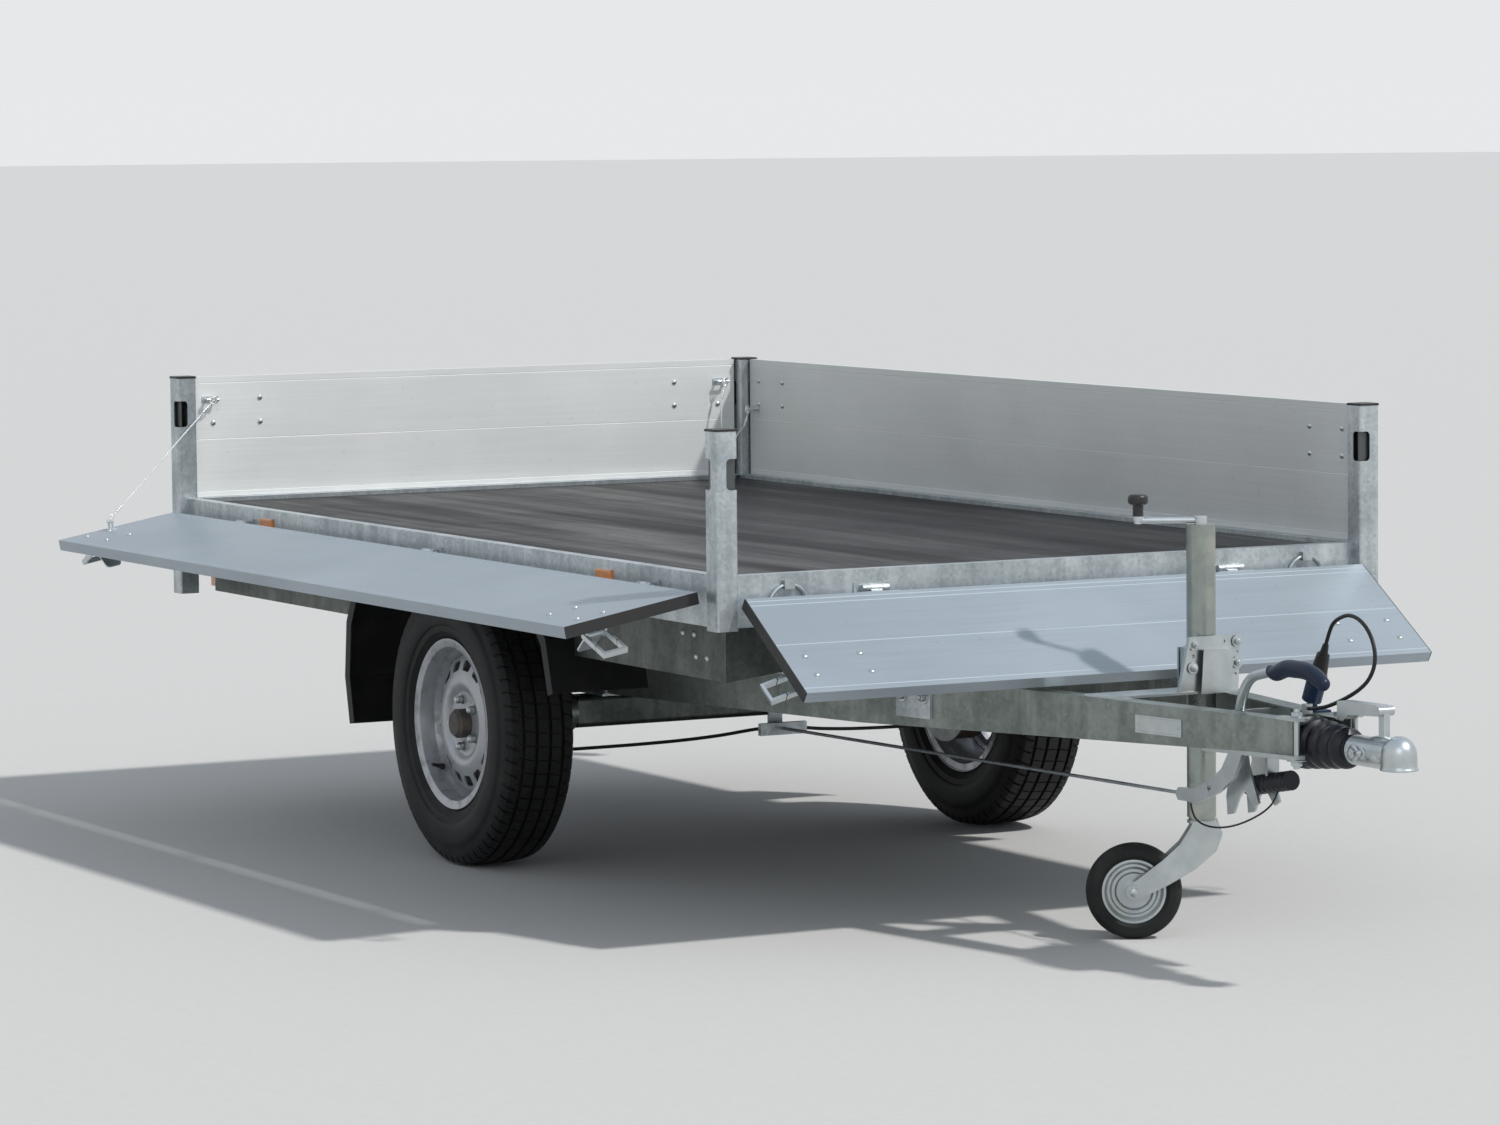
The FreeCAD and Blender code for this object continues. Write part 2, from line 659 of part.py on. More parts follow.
def deep_beams():
    # The end beams follow the panels' depth and rise towards the middle; the two beams over the
    # drawbar reach down to its arms.
    beams = []
    top = up(RAIL_BOTTOM)
    t = PANEL_WALL
    half = PANEL_LINE
    for station, side in zip(BEAM_STATIONS, (-1, 1)):
        x = back(station)
        outline = [(-half, up(PANEL_BOTTOM)), (-half + BEAM_RISE_WIDTH, up(BEAM_CENTRE_BOTTOM)),
                   (half - BEAM_RISE_WIDTH, up(BEAM_CENTRE_BOTTOM)), (half, up(PANEL_BOTTOM))]
        sheet = [(x, y, z) for y, z in outline] + [(x, half, top), (x, -half, top)]
        web = prism(sheet, (side * t, 0, 0))
        flange = prism([(x, y, z) for y, z in outline] + [(x, y, z + t) for y, z in reversed(outline)],
                       (side * BEAM_FLANGE, 0, 0))
        lip = box(tuple(sorted((x, x + side * BEAM_FLANGE))), (-half, half), (top - t, top))
        span = tuple(sorted((x, x + side * BEAM_FLANGE)))
        returns = [box(span, y, (up(PANEL_BOTTOM), top)) for y in ((-half - t, -half), (half, half + t))]
        beams.append(fuse([web, flange, lip] + returns))
    inner = INNER_LINE - MEMBER_WALL
    for station in AXLE_BEAM_STATIONS:
        beams.append(channel(back(station), inner, up(ARM_TOP), up(PANEL_BOTTOM), t, AXLE_BEAM_FLANGE))
    return beams


def latch_notch(edge, along, inward):
    # Cutter for the notch round a post's edge, from the edge's x and y, and the keeper plate behind it.
    x, y = edge
    ax, ay = along
    ix, iy = inward

    def block(run, depth, heights):
        near = (x + ax * run[0] + ix * depth[0], y + ay * run[0] + iy * depth[0])
        far = (x + ax * run[1] + ix * depth[1], y + ay * run[1] + iy * depth[1])
        return box(sorted((near[0], far[0])), sorted((near[1], far[1])), heights)

    cutter = block((-1, NOTCH_REACH), (-1, NOTCH_REACH), (up(SLOT_LOW), up(SLOT_HIGH)))
    flat = [e for e in cutter.Edges if abs(e.Vertexes[0].Z - e.Vertexes[1].Z) < 1e-6]
    far = [e for e in flat if (e.CenterOfMass - Vector(x, y, e.CenterOfMass.z)).Length > 0.6 * NOTCH_REACH]
    cutter = cutter.makeFillet(NOTCH_ROUND, far)
    inside = POST_WALL - 0.5
    heights = (up(SLOT_LOW) - KEEPER_MARGIN, up(SLOT_HIGH) + KEEPER_MARGIN)
    keeper = block((inside, NOTCH_REACH + KEEPER_MARGIN), (KEEPER_DEPTH, KEEPER_DEPTH + POST_WALL), heights)
    return cutter, keeper


def corner_posts():
    # Hollow square posts with a seam where the upper part plugs in, and a latch notch beside each board's end.
    posts = []
    s = POST_SIZE
    w = POST_WALL
    d = POST_SEAM_DEPTH
    for station, foot, outward in ((0.0, FRONT_POST_FOOT, 1), (BED_LENGTH - s, REAR_POST_FOOT, -1)):
        x = (back(station + s), back(station))
        y = (-HALF_WIDTH, -HALF_WIDTH + s)
        post = rounded_tube(x, y, (up(foot), up(POST_TOP)), POST_CORNER_RADIUS)
        bore = box((x[0] + w, x[1] - w), (y[0] + w, y[1] - w), (up(foot) - 1, up(POST_TOP) + 1))
        seam_low = up(POST_SEAM) - POST_SEAM_WIDTH / 2
        seam = box((x[0] - 1, x[1] + 1), (y[0] - 1, y[1] + 1), (seam_low, seam_low + POST_SEAM_WIDTH))
        kept = box((x[0] + d, x[1] - d), (y[0] + d, y[1] - d), (seam_low - 1, seam_low + POST_SEAM_WIDTH + 1))
        post = post.cut(bore).cut(seam.cut(kept))
        outer, inner = (x[1], x[0]) if outward > 0 else (x[0], x[1])
        notches = [latch_notch((inner, y[0]), (outward, 0), (0, 1)),
                   latch_notch((outer, y[1]), (0, -1), (-outward, 0))]
        keepers = [keeper for cutter, keeper in notches]
        for cutter, keeper in notches:
            post = post.cut(cutter)
        post = fuse([post] + keepers)
        posts += [post, mirrored(post)]
    return posts


def post_caps():
    caps = []
    s = POST_SIZE
    o = CAP_OVERHANG
    for station in (0.0, BED_LENGTH - s):
        x = (back(station + s), back(station))
        y = (-HALF_WIDTH, -HALF_WIDTH + s)
        plate = rounded_tube((x[0] - o, x[1] + o), (y[0] - o, y[1] + o),
                             (up(POST_TOP), up(POST_TOP) + CAP_THICKNESS), POST_CORNER_RADIUS)
        rim = [e for e in plate.Edges if min(v.Z for v in e.Vertexes) > up(POST_TOP) + CAP_THICKNESS - 0.1]
        plate = plate.makeChamfer(CAP_CHAMFER, rim)
        g = POST_WALL + RUNNING_GAP
        plug = box((x[0] + g, x[1] - g), (y[0] + g, y[1] - g), (up(POST_TOP) - CAP_PLUG_DEPTH, up(POST_TOP)))
        cap = fuse([plate, plug])
        caps += [cap, mirrored(cap)]
    return caps


# Drop boards. A board is modelled closed on the right side, lengthwise along X, and turned to its place.

def board_panel(length):
    # Local frame: X along the board, Y outward, Z up, the hinge pin on the X axis. Both faces have V grooves.
    half = BOARD_THICKNESS / 2
    low = PIN_BELOW_BOARD
    g = BOARD_GROOVE
    face = [(half, low)]
    for share in GROOVE_SHARES:
        z = low + share * BOARD_HEIGHT
        face += [(half, z - g), (half - g, z), (half, z + g)]
    face.append((half, low + BOARD_HEIGHT))
    outline = face + [(-y, z) for y, z in reversed(face)]
    panel = prism([(-length / 2, y, z) for y, z in outline], (length, 0, 0))
    pitch = (BOARD_HEIGHT - BOARD_WALL) / BOARD_CHAMBERS
    inner = half - BOARD_WALL - g
    for i in range(BOARD_CHAMBERS):
        z0 = low + BOARD_WALL + i * pitch
        z1 = z0 + pitch - BOARD_WALL
        panel = panel.cut(box((-length / 2 - 1, length / 2 + 1), (-inner, inner), (z0, z1)))
    return panel


def hinge_eye(x):
    # The board's half of a hinge: an eye on the pin, its tab and the pad under the board's lower edge.
    half = BOARD_THICKNESS / 2
    k = KNUCKLE_LENGTH / 2
    eye = rod((x - k, 0, 0), (x + k, 0, 0), KNUCKLE_RADIUS)
    pin = rod((x - PIN_HALF_LENGTH, 0, 0), (x + PIN_HALF_LENGTH, 0, 0), PIN_RADIUS)
    tab = box((x - k, x + k), (-TAB_THICKNESS / 2, TAB_THICKNESS / 2), (0, PIN_BELOW_BOARD))
    pad = box((x - LEAF_WIDTH / 2, x + LEAF_WIDTH / 2), (-half + 2, half - 2),
              (PIN_BELOW_BOARD - TAB_THICKNESS, PIN_BELOW_BOARD))
    return fuse([eye, pin, tab, pad])


def cable_eye(x, z):
    # A staple on the board's inner face, for a corner cable.
    face = -BOARD_THICKNESS / 2
    top = face - STAPLE_HEIGHT
    legs = [rod((leg, face, z), (leg, top, z), STAPLE_LEG) for leg in (x - STAPLE_HALF, x + STAPLE_HALF)]
    reach = STAPLE_HALF + STAPLE_LEG + 1
    bar = rod((x - reach, top, z), (x + reach, top, z), STAPLE_BAR)
    foot = box((x - STAPLE_HALF - STAPLE_FOOT, x + STAPLE_HALF + STAPLE_FOOT), (face - 2, face),
               (z - STAPLE_FOOT_HALF, z + STAPLE_FOOT_HALF))
    return fuse(legs + [bar, foot])


def board_fittings(length, hinges, staples, closed):
    # Hinge eyes with their pins and tabs, end caps and the two latches, in the panel's own frame.
    half = BOARD_THICKNESS / 2
    solids = [hinge_eye(x) for x in hinges] + [cable_eye(x, z) for x, z in staples]
    for end in (-1, 1):
        tip = end * length / 2
        solids.append(box(tuple(sorted((tip, tip + end * BOARD_CAP))), (-half, half),
                          (PIN_BELOW_BOARD, PIN_BELOW_BOARD + BOARD_HEIGHT)))
        solids.append(latch(tip, end, closed))
        for dx in (-1, 1):
            for dz in (-1, 1):
                x = tip - end * LATCH_FROM_END + dx * LATCH_RIVET_LENGTH / 2
                z = LATCH_FROM_PIN + dz * LATCH_RIVET_HEIGHT / 2
                if any(abs(x - sx) < 2 * STAPLE_HALF and abs(z - sz) < STAPLE_HALF for sx, sz in staples):
                    continue
                solids.append(Part.makeCone(LATCH_RIVET_RADIUS, LATCH_RIVET_RADIUS / 2, LATCH_RIVET_HEAD,
                                            Vector(x, -half, z), Vector(0, -1, 0)))
    return solids


def slanted_bar(start, end, thickness, low, high):
    # A flat bar seen edge-on as a strip from start to end (x, y pairs), as tall as low to high.
    a, b = Vector(start[0], start[1], 0), Vector(end[0], end[1], 0)
    run = (b - a).normalize()
    side = Vector(-run.y, run.x, 0) * (thickness / 2)
    corners = [a - side, b - side, b + side, a + side]
    return prism([(c.x, c.y, low) for c in corners], (0, 0, high - low))


def latch(tip, end, closed):
    # Riveted plate whose ears hold a pin with a loop and a lever. On a closed board the loop lies in the
    # post's notch and the lever flat on the plate, on an open one both stand off.
    face = BOARD_THICKNESS / 2
    z = LATCH_FROM_PIN
    x = tip - end * LATCH_FROM_END
    a = LATCH_RIVET_LENGTH / 2 + LATCH_MARGIN
    b = LATCH_RIVET_HEIGHT / 2 + LATCH_MARGIN
    top = face + LATCH_PLATE_THICKNESS
    plate = box((x - a, x + a), (face, top), (z - b, z + b))
    pin_x, pin_y = tip - end * LATCH_PIN_FROM_END, face + LATCH_PIN_OUT
    middle = (SLOT_LOW + SLOT_HIGH) / 2 - PIN_HEIGHT
    pin = rod((pin_x, pin_y, middle - LOOP_HALF), (pin_x, pin_y, middle + LOOP_HALF), LATCH_PIN_RADIUS)
    ears = []
    for low in (middle - LEVER_HALF - LATCH_EAR_THICKNESS, middle + LEVER_HALF):
        high = low + LATCH_EAR_THICKNESS
        ears.append(rod((pin_x, pin_y, low), (pin_x, pin_y, high), LATCH_EAR_RADIUS))
        ears.append(box((pin_x - LATCH_EAR_RADIUS, pin_x + LATCH_EAR_RADIUS), (face + 1, pin_y), (low, high)))
    beyond, out, depth = LOOP_BEYOND, LOOP_OUT, LOOP_DEPTH
    inboard, lever_out = LEVER_INBOARD, LEVER_OUT
    if closed:
        beyond, out, depth = CLOSED_LOOP_BEYOND, CLOSED_LOOP_OUT, CLOSED_LOOP_DEPTH
        inboard, lever_out = CLOSED_LEVER_INBOARD, CLOSED_LEVER_OUT
    far = (tip + end * beyond, face + out)
    legs = [slanted_bar((pin_x, pin_y), far, depth, low, low + LOOP_BAR)
            for low in (middle - LOOP_HALF, middle + LOOP_HALF - LOOP_BAR)]
    run = Vector(far[0] - pin_x, far[1] - pin_y, 0).normalize() * LOOP_BAR
    near = (far[0] - run.x, far[1] - run.y)
    cross = slanted_bar(near, far, depth, middle - LOOP_HALF, middle + LOOP_HALF)
    hand = (pin_x - end * inboard, face + lever_out)
    lever = slanted_bar((pin_x, pin_y), hand, LEVER_THICKNESS, middle - LEVER_HALF, middle + LEVER_HALF)
    tips = [e for e in lever.Edges if abs(e.Length - LEVER_THICKNESS) < 1e-6
            and abs(e.CenterOfMass.x - pin_x) > inboard / 2]
    lever = lever.makeFillet(LEVER_CORNER, tips)
    return fuse([plate, pin, lever, cross] + ears + legs)


SIDE_HINGES = tuple(station - BED_LENGTH / 2 for station in SIDE_HINGE_STATIONS)
END_HINGES = (-END_HINGE_PLACE, END_HINGE_PLACE)

# name: length, hinge places, turn about Z that points the outside outward, pin centre, turn at rest about
# the pin, outward and down
BOARDS = {
    "right": (SIDE_BOARD_LENGTH, SIDE_HINGES, 180, (MID_X, -PIN_LINE), SIDE_OPEN_DEG),
    "left": (SIDE_BOARD_LENGTH, tuple(-x for x in SIDE_HINGES), 0, (MID_X, PIN_LINE), 0.0),
    "front": (END_BOARD_LENGTH, END_HINGES, -90, (back(BOARD_THICKNESS / 2), 0.0), FRONT_OPEN_DEG),
    "rear": (END_BOARD_LENGTH, END_HINGES, 90, (back(BED_LENGTH - BOARD_THICKNESS / 2), 0.0), 0.0),
}


def beside_rail(shape, heading, centre):
    # Turned from the local place to its side of the bed, its pin line on the rail's.
    out = turned(shape, (0, 0, 0), (0, 0, 1), heading)
    out.translate(Vector(centre[0], centre[1], up(PIN_HEIGHT)))
    return out


def placed_board(shape, name):
    # Opening turns the local panel about its own -X before it goes to its rail.
    heading, centre, opening = BOARDS[name][2:]
    return beside_rail(turned(shape, (0, 0, 0), (1, 0, 0), -opening), heading, centre)


def hinge_leaves():
    # The rails' halves of the hinges: a plate on the rail face with two eyes around each pin.
    leaves = []
    near, far = KNUCKLE_LENGTH / 2 + KNUCKLE_GAP, PIN_HALF_LENGTH
    wall = -BOARD_THICKNESS / 2
    for row in BOARDS.values():
        hinges, heading, centre = row[1:4]
        for x in hinges:
            plate = box((x - LEAF_WIDTH / 2, x + LEAF_WIDTH / 2), (wall, wall + LEAF_THICKNESS),
                        (-LEAF_DEPTH, LEAF_ABOVE_PIN))
            parts = [plate]
            for side in (-1, 1):
                a, b = sorted((x + side * near, x + side * far))
                parts.append(rod((a, 0, 0), (b, 0, 0), KNUCKLE_RADIUS))
                parts.append(box((a, b), (wall, 0), (-KNUCKLE_RADIUS, 0)))
            leaf = fuse(parts)
            leaf = leaf.cut(rod((x - far - 1, 0, 0), (x + far + 1, 0, 0), PIN_RADIUS + PIN_CLEARANCE))
            leaves.append(beside_rail(leaf, heading, centre))
    return leaves


# Drawbar and its brackets

def arm_y(x):
    # Outer face of the right arm at a given x.
    return -(ARM_FRONT_OUTER + (ARM_FRONT_X - x) * math.tan(math.radians(ARM_TAPER_DEG)))


def drawbar_arms():
    # Folded C sections, web outside and flanges inward; deeper towards the rear, the tail chamfered.
    x0, x1, x3 = ARM_FRONT_X, back(ARM_DEEP_STATION), back(ARM_END_STATION)
    x2 = back(TUBE_STATION - ARM_BEFORE_TUBE)
    tube_top = TUBE_HEIGHT + TUBE_SIZE / 2 + PAD_THICKNESS
    lower = [(x0, ARM_FRONT_BOTTOM), (x1, ARM_DEEP_BOTTOM), (x2, tube_top), (x3 + ARM_END_CHAMFER, tube_top),
             (x3, tube_top + ARM_END_CHAMFER)]
    outline = [(x0, ARM_TOP)] + lower + [(x3, ARM_TOP)]
    solid = prism([(x, arm_y(x), up(h)) for x, h in outline], (0, ARM_FLANGE, 0))
    w = ARM_WALL
    inside = [(x, h + w) for x, h in lower]
    inside[0] = (x0 + 1, ARM_FRONT_BOTTOM + w)
    inside[-2] = (x3 + ARM_END_CHAMFER - w, tube_top + w)
    inside[-1] = (x3 - 1, tube_top + ARM_END_CHAMFER + w)
    inner = [(x0 + 1, ARM_TOP - w)] + inside + [(x3 - 1, ARM_TOP - w)]
    hollow = prism([(x, arm_y(x) + w, up(h)) for x, h in inner], (0, ARM_FLANGE, 0))
    room = rod((COLLAR_REAR_X - 1, 0, 0), (ARM_FRONT_X, 0, 0), BELLOWS_RADIUS + 3)
    arm = solid.cut(hollow).cut(room)
    return [arm, mirrored(arm)]


def mounting_brackets():
    # Pads between the arms and the axle tube, and upright plates that hold the arms to the front beam.
    x = back(TUBE_STATION)
    y = arm_y(x) + ARM_FLANGE / 2
    low = up(TUBE_HEIGHT + TUBE_SIZE / 2)
    pad = box((x - PAD_HALF_LENGTH, x + PAD_HALF_LENGTH), (y - PAD_HALF_WIDTH, y + PAD_HALF_WIDTH),
              (low, low + PAD_THICKNESS))
    x = back(BEAM_STATIONS[0] + BEAM_FLANGE / 2)
    ends = (x - BRACKET_HALF_LENGTH, x + BRACKET_HALF_LENGTH)
    foot = [(px, arm_y(px)) for px in ends] + [(px, arm_y(px) - BRACKET_THICKNESS) for px in reversed(ends)]
    height = BEAM_CENTRE_BOTTOM - BRACKET_BOTTOM
    plate = prism([(px, py, up(BRACKET_BOTTOM)) for px, py in foot], (0, 0, height))
    return [pad, mirrored(pad), plate, mirrored(plate)]


# Running gear

def axle_tube():
    # Square tube with rounded edges lying across the trailer.
    x, z = back(TUBE_STATION), up(TUBE_HEIGHT)
    h = TUBE_SIZE / 2
    bar = box((x - h, x + h), (-TUBE_HALF_LENGTH, TUBE_HALF_LENGTH), (z - h, z + h))
    edges = [e for e in bar.Edges if abs(e.Vertexes[0].Y - e.Vertexes[1].Y) > 1]
    bar = bar.makeFillet(TUBE_CORNER, edges)
    i = h - TUBE_WALL
    bore = box((x - i, x + i), (-TUBE_HALF_LENGTH - 1, TUBE_HALF_LENGTH + 1), (z - i, z + i))
    edges = [e for e in bore.Edges if abs(e.Vertexes[0].Y - e.Vertexes[1].Y) > 1]
    return [bar.cut(bore.makeFillet(TUBE_CORNER - TUBE_WALL, edges))]


def swing_arms():
    # Trailing arm with its torsion core in the tube, the stub axle and the brake's back plate.
    tx, tz = back(TUBE_STATION), up(TUBE_HEIGHT)
    wx, wz = WHEEL_X, WHEEL_Z
    y0, y1 = ARM_INNER_Y, ARM_INNER_Y + SWING_ARM_THICKNESS
    r = SWING_ARM_END_RADIUS
    angle = math.atan2(wz - tz, wx - tx)
    waist = r - SWING_ARM_NARROWING
    nx, nz = -math.sin(angle) * waist, math.cos(angle) * waist
    corners = [(tx + nx, tz + nz), (wx + nx, wz + nz), (wx - nx, wz - nz), (tx - nx, tz - nz)]
    web = prism([(x, y0, z) for x, z in corners], (0, SWING_ARM_THICKNESS, 0))
    eye = rod((tx, y0, tz), (tx, y1, tz), r)
    hub = rod((wx, y0, wz), (wx, y1, wz), r)
    boss = rod((wx, y1, wz), (wx, BACKPLATE_Y, wz), ARM_BOSS_RADIUS)
    plate = rod((wx, BACKPLATE_Y, wz), (wx, BACKPLATE_Y + BACKPLATE_THICKNESS, wz), BACKPLATE_RADIUS)
    stub = rod((wx, BACKPLATE_Y, wz), (wx, STUB_END_Y, wz), STUB_RADIUS)
    c = TUBE_SIZE / 2 - TUBE_WALL - SWING_CORE_GAP
    core = box((tx - c, tx + c), (TUBE_HALF_LENGTH - SWING_CORE_LENGTH, y0), (tz - c, tz + c))
    arm = fuse([web, eye, hub, boss, plate, stub, core])
    return [mirrored(arm), arm]


def brake_drum():
    # Drum open towards the back plate, with the hub flange, the pilot and the grease cap.
    y0, y1 = DRUM_INNER_Y, DRUM_INNER_Y + DRUM_DEPTH
    inside = DRUM_RADIUS - DRUM_WALL
    bore = STUB_RADIUS + PIN_CLEARANCE
    boss = HUB_RADIUS - 14
    cap = STUB_END_Y + 14
    profile = [(bore, y1 - 22), (boss, y1 - 22), (boss, y1 - DRUM_WALL), (inside, y1 - DRUM_WALL),
               (inside, y0), (DRUM_RADIUS, y0), (DRUM_RADIUS, y1), (DRUM_NECK_RADIUS, y1),
               (DRUM_NECK_RADIUS, DISC_Y),
               (PILOT_RADIUS, DISC_Y), (PILOT_RADIUS, cap - 8), (PILOT_RADIUS - 7, cap), (0, cap),
               (0, STUB_END_Y + 1), (bore, STUB_END_Y + 1)]
    return revolved_y(profile, (WHEEL_X, 0, WHEEL_Z))


def vent_slot():
    # Cutter for one vent of the disc, a slot with round ends lying across the radius.
    r = VENT_WIDTH / 2
    half = VENT_LENGTH / 2 - r
    through = RIM_WIDTH / 2 - 18
    ends = [rod((x, -through, 0), (x, through, 0), r) for x in (-half, half)]
    slot = fuse([box((-half, half), (-through, through), (-r, r))] + ends)
    slot.translate(Vector(WHEEL_X, DISC_Y, WHEEL_Z + VENT_CIRCLE_RADIUS))
    return slot


def wheel_rim():
    # Steel rim barrel with drop centre, welded disc with vent slots, stud holes and a pilot hole.
    w = RIM_WIDTH / 2
    t = RIM_WALL
    lip, seat, well = RIM_LIP_RADIUS, BEAD_RADIUS, RIM_WELL_RADIUS
    outside = [(lip, -w), (lip, -w + 6), (seat, -w + 9), (seat - 4, -w + 30), (well, -w + 42),
               (well, w - 66), (seat - 4, w - 40), (seat, w - 9), (lip, w - 6), (lip, w)]
    inside = [(lip - t, w), (lip - t, w - 3), (seat - t, w - 5), (seat - 4 - t, w - 40), (well - t, w - 64),
              (well - t, -w + 40), (seat - 4 - t, -w + 28), (seat - t, -w + 5), (lip - t, -w + 3),
              (lip - t, -w)]
    barrel = revolved_y(outside + inside, (WHEEL_X, WHEEL_CENTRE_Y, WHEEL_Z))
    d = RIM_DISC_OFFSET
    edge = well - t
    pilot = PILOT_RADIUS + 1
    disc_profile = [(pilot, d + 7), (72, d + 7), (92, d + 20), (118, d + 14), (edge, d - 12), (edge, d - 22),
                    (edge - 3, d - 22), (118, d + 10), (92, d + 16), (74, d + 3), (HUB_RADIUS + 1, d),
                    (pilot, d)]
    disc = revolved_y(disc_profile, (WHEEL_X, WHEEL_CENTRE_Y, WHEEL_Z))
    for i in range(STUD_COUNT):
        a = 2 * math.pi * i / STUD_COUNT + math.pi / 2
        x, z = WHEEL_X + STUD_CIRCLE / 2 * math.cos(a), WHEEL_Z + STUD_CIRCLE / 2 * math.sin(a)
        disc = disc.cut(rod((x, DISC_Y - 5, z), (x, DISC_Y + 30, z), STUD_RADIUS))
    slot = vent_slot()
    for i in range(VENT_COUNT):
        disc = disc.cut(turned(slot, (WHEEL_X, 0, WHEEL_Z), (0, 1, 0), 360.0 * i / VENT_COUNT))
    return fuse([barrel, disc])


def tyre():
    # Hollow carcass with beads on the rim's seats. The profile is half the section, mirrored about its middle.
    h = TYRE_WIDTH / 2
    r = WHEEL_RADIUS
    w = TYRE_WALL
    bead = BEAD_RADIUS + RUNNING_GAP
    lip = RIM_LIP_RADIUS
    foot = RIM_WIDTH / 2 - 9.5
    outside = [(bead, foot), (lip + 0.6, foot + 3.1), (lip + 5, foot + 9), (225, h - 6), (252, h),
               (285, h - 6), (r - 13, h - 14), (r - 3, h - 28), (r, h / 2 - 1)]
    inside = [(r - w - 4, 0), (r - 13 - w, h - 34), (285, h - 8 - w), (252, h - w), (225, h - 6 - w),
              (lip + 4, foot - 10), (bead, foot - 16)]
    far_outside = [(radius, -y) for radius, y in outside]
    far_inside = [(radius, -y) for radius, y in inside[1:]]
    profile = far_outside + outside[::-1] + inside[::-1] + far_inside
    return revolved_y(profile, (WHEEL_X, WHEEL_CENTRE_Y, WHEEL_Z))


def mudguards():
    # Plastic arches: flat under the floor, sloping down in front and behind, with a flap and a side skirt.
    outer = [(back(AXLE_STATION + ds), up(2 * WHEEL_RADIUS + dh)) for ds, dh in GUARD_CORNERS]
    inner = beside(outer, GUARD_WALL)
    sheet = prism([(x, GUARD_INNER, z) for x, z in outer + inner[::-1]], (0, GUARD_OUTER - GUARD_INNER, 0))
    skirt_line = outer + beside(outer, GUARD_SKIRT)[::-1]
    skirt = prism([(x, GUARD_OUTER - GUARD_WALL, z) for x, z in skirt_line], (0, GUARD_WALL, 0))
    guard = fuse([sheet, skirt])
    under_rail = box((back(GUARD_REAR) - 1, back(GUARD_FRONT) + 1), (GUARD_UNDER_RAIL, GUARD_OUTER + 1),
                     (up(RAIL_BOTTOM) - 2, up(RAIL_TOP)))
    guard = guard.cut(under_rail)
    return [mirrored(guard), guard]


# Overrun coupling

def cover_rod(radius):
    return rod((COVER_REAR_X, 0, up(COVER_REAR_HEIGHT)), (COVER_FRONT_X, 0, up(COVER_FRONT_HEIGHT)), radius)


def overrun_housing():
    # Bearing tube for the draw bar between the arms, with its flanges, hanger and the damper's rear plates.
    x0, x1 = HOUSING_REAR_X, HOUSING_FRONT_X
    tube = rod((x0, 0, 0), (x1, 0, 0), HOUSING_TUBE_RADIUS)
    collar = rod((COLLAR_REAR_X, 0, 0), (x1, 0, 0), COLLAR_RADIUS)
    parts = [tube, collar]
    low, high = up(ARM_FRONT_BOTTOM) + 4 + ARM_WALL, up(ARM_TOP) - ARM_WALL - 4
    for x in (x0 + 8, x1 - 62):
        half = -arm_y(x + 10) - ARM_WALL - RUNNING_GAP
        parts.append(box((x, x + 10), (-half, half), (low, high)))
    hanger = (COVER_HANGER_X - HANGER_HALF_LENGTH, COVER_HANGER_X + HANGER_HALF_LENGTH)
    parts.append(box(hanger, (-HANGER_HALF_WIDTH, HANGER_HALF_WIDTH), (up(COVER_REAR_HEIGHT), 0)))
    for side in (-1, 1):
        inner = side * DAMPER_PLATE_Y
        outline = [(x, inner, up(h)) for x, h in DAMPER_CORNERS]
        parts.append(prism(outline, (0, side * DAMPER_PLATE_THICKNESS, 0)))
    body = fuse(parts).cut(cover_rod(COVER_RADIUS + RUNNING_GAP))
    bore = rod((x0 - 1, 0, 0), (x1 + 1, 0, 0), HOUSING_BORE_RADIUS)
    draw = rod((x0 - DRAW_TUBE_TAIL, 0, 0), (DRAW_TUBE_FRONT_X, 0, 0), DRAW_TUBE_RADIUS)
    hollow = rod((x0 - DRAW_TUBE_TAIL - 1, 0, 0), (x0 - DRAW_TUBE_TAIL + 79, 0, 0), DRAW_TUBE_RADIUS - 6)
    return [body.cut(bore), draw.cut(hollow)]


def bellows():
    # Rubber gaiter with round folds, its rear cuff on the housing's collar, its front one on the draw tube.
    x0, x1 = BELLOWS_REAR_X + BELLOWS_CUFF, BELLOWS_FRONT_X - BELLOWS_CUFF
    n = BELLOWS_FOLDS
    pitch = (x1 - x0) / n
    rear, front = COLLAR_RADIUS + RUNNING_GAP + BELLOWS_WALL, DRAW_TUBE_RADIUS + RUNNING_GAP + BELLOWS_WALL
    outside = [(rear, BELLOWS_REAR_X), (rear, x0)]
    for i in range(n):
        crest = BELLOWS_RADIUS * (1 - BELLOWS_TAPER * i)
        outside += [(crest - 3, x0 + (i + 0.18) * pitch), (crest, x0 + (i + 0.36) * pitch),
                    (crest, x0 + (i + 0.64) * pitch), (crest - 3, x0 + (i + 0.82) * pitch)]
        valley = BELLOWS_VALLEY * crest / BELLOWS_RADIUS if i < n - 1 else front
        outside.append((valley, x0 + (i + 1) * pitch))
    outside.append((front, BELLOWS_FRONT_X))
    inside = [(r - BELLOWS_WALL, x) for r, x in reversed(outside)]
    return [revolved_x(outside + inside, (0, 0, 0))]


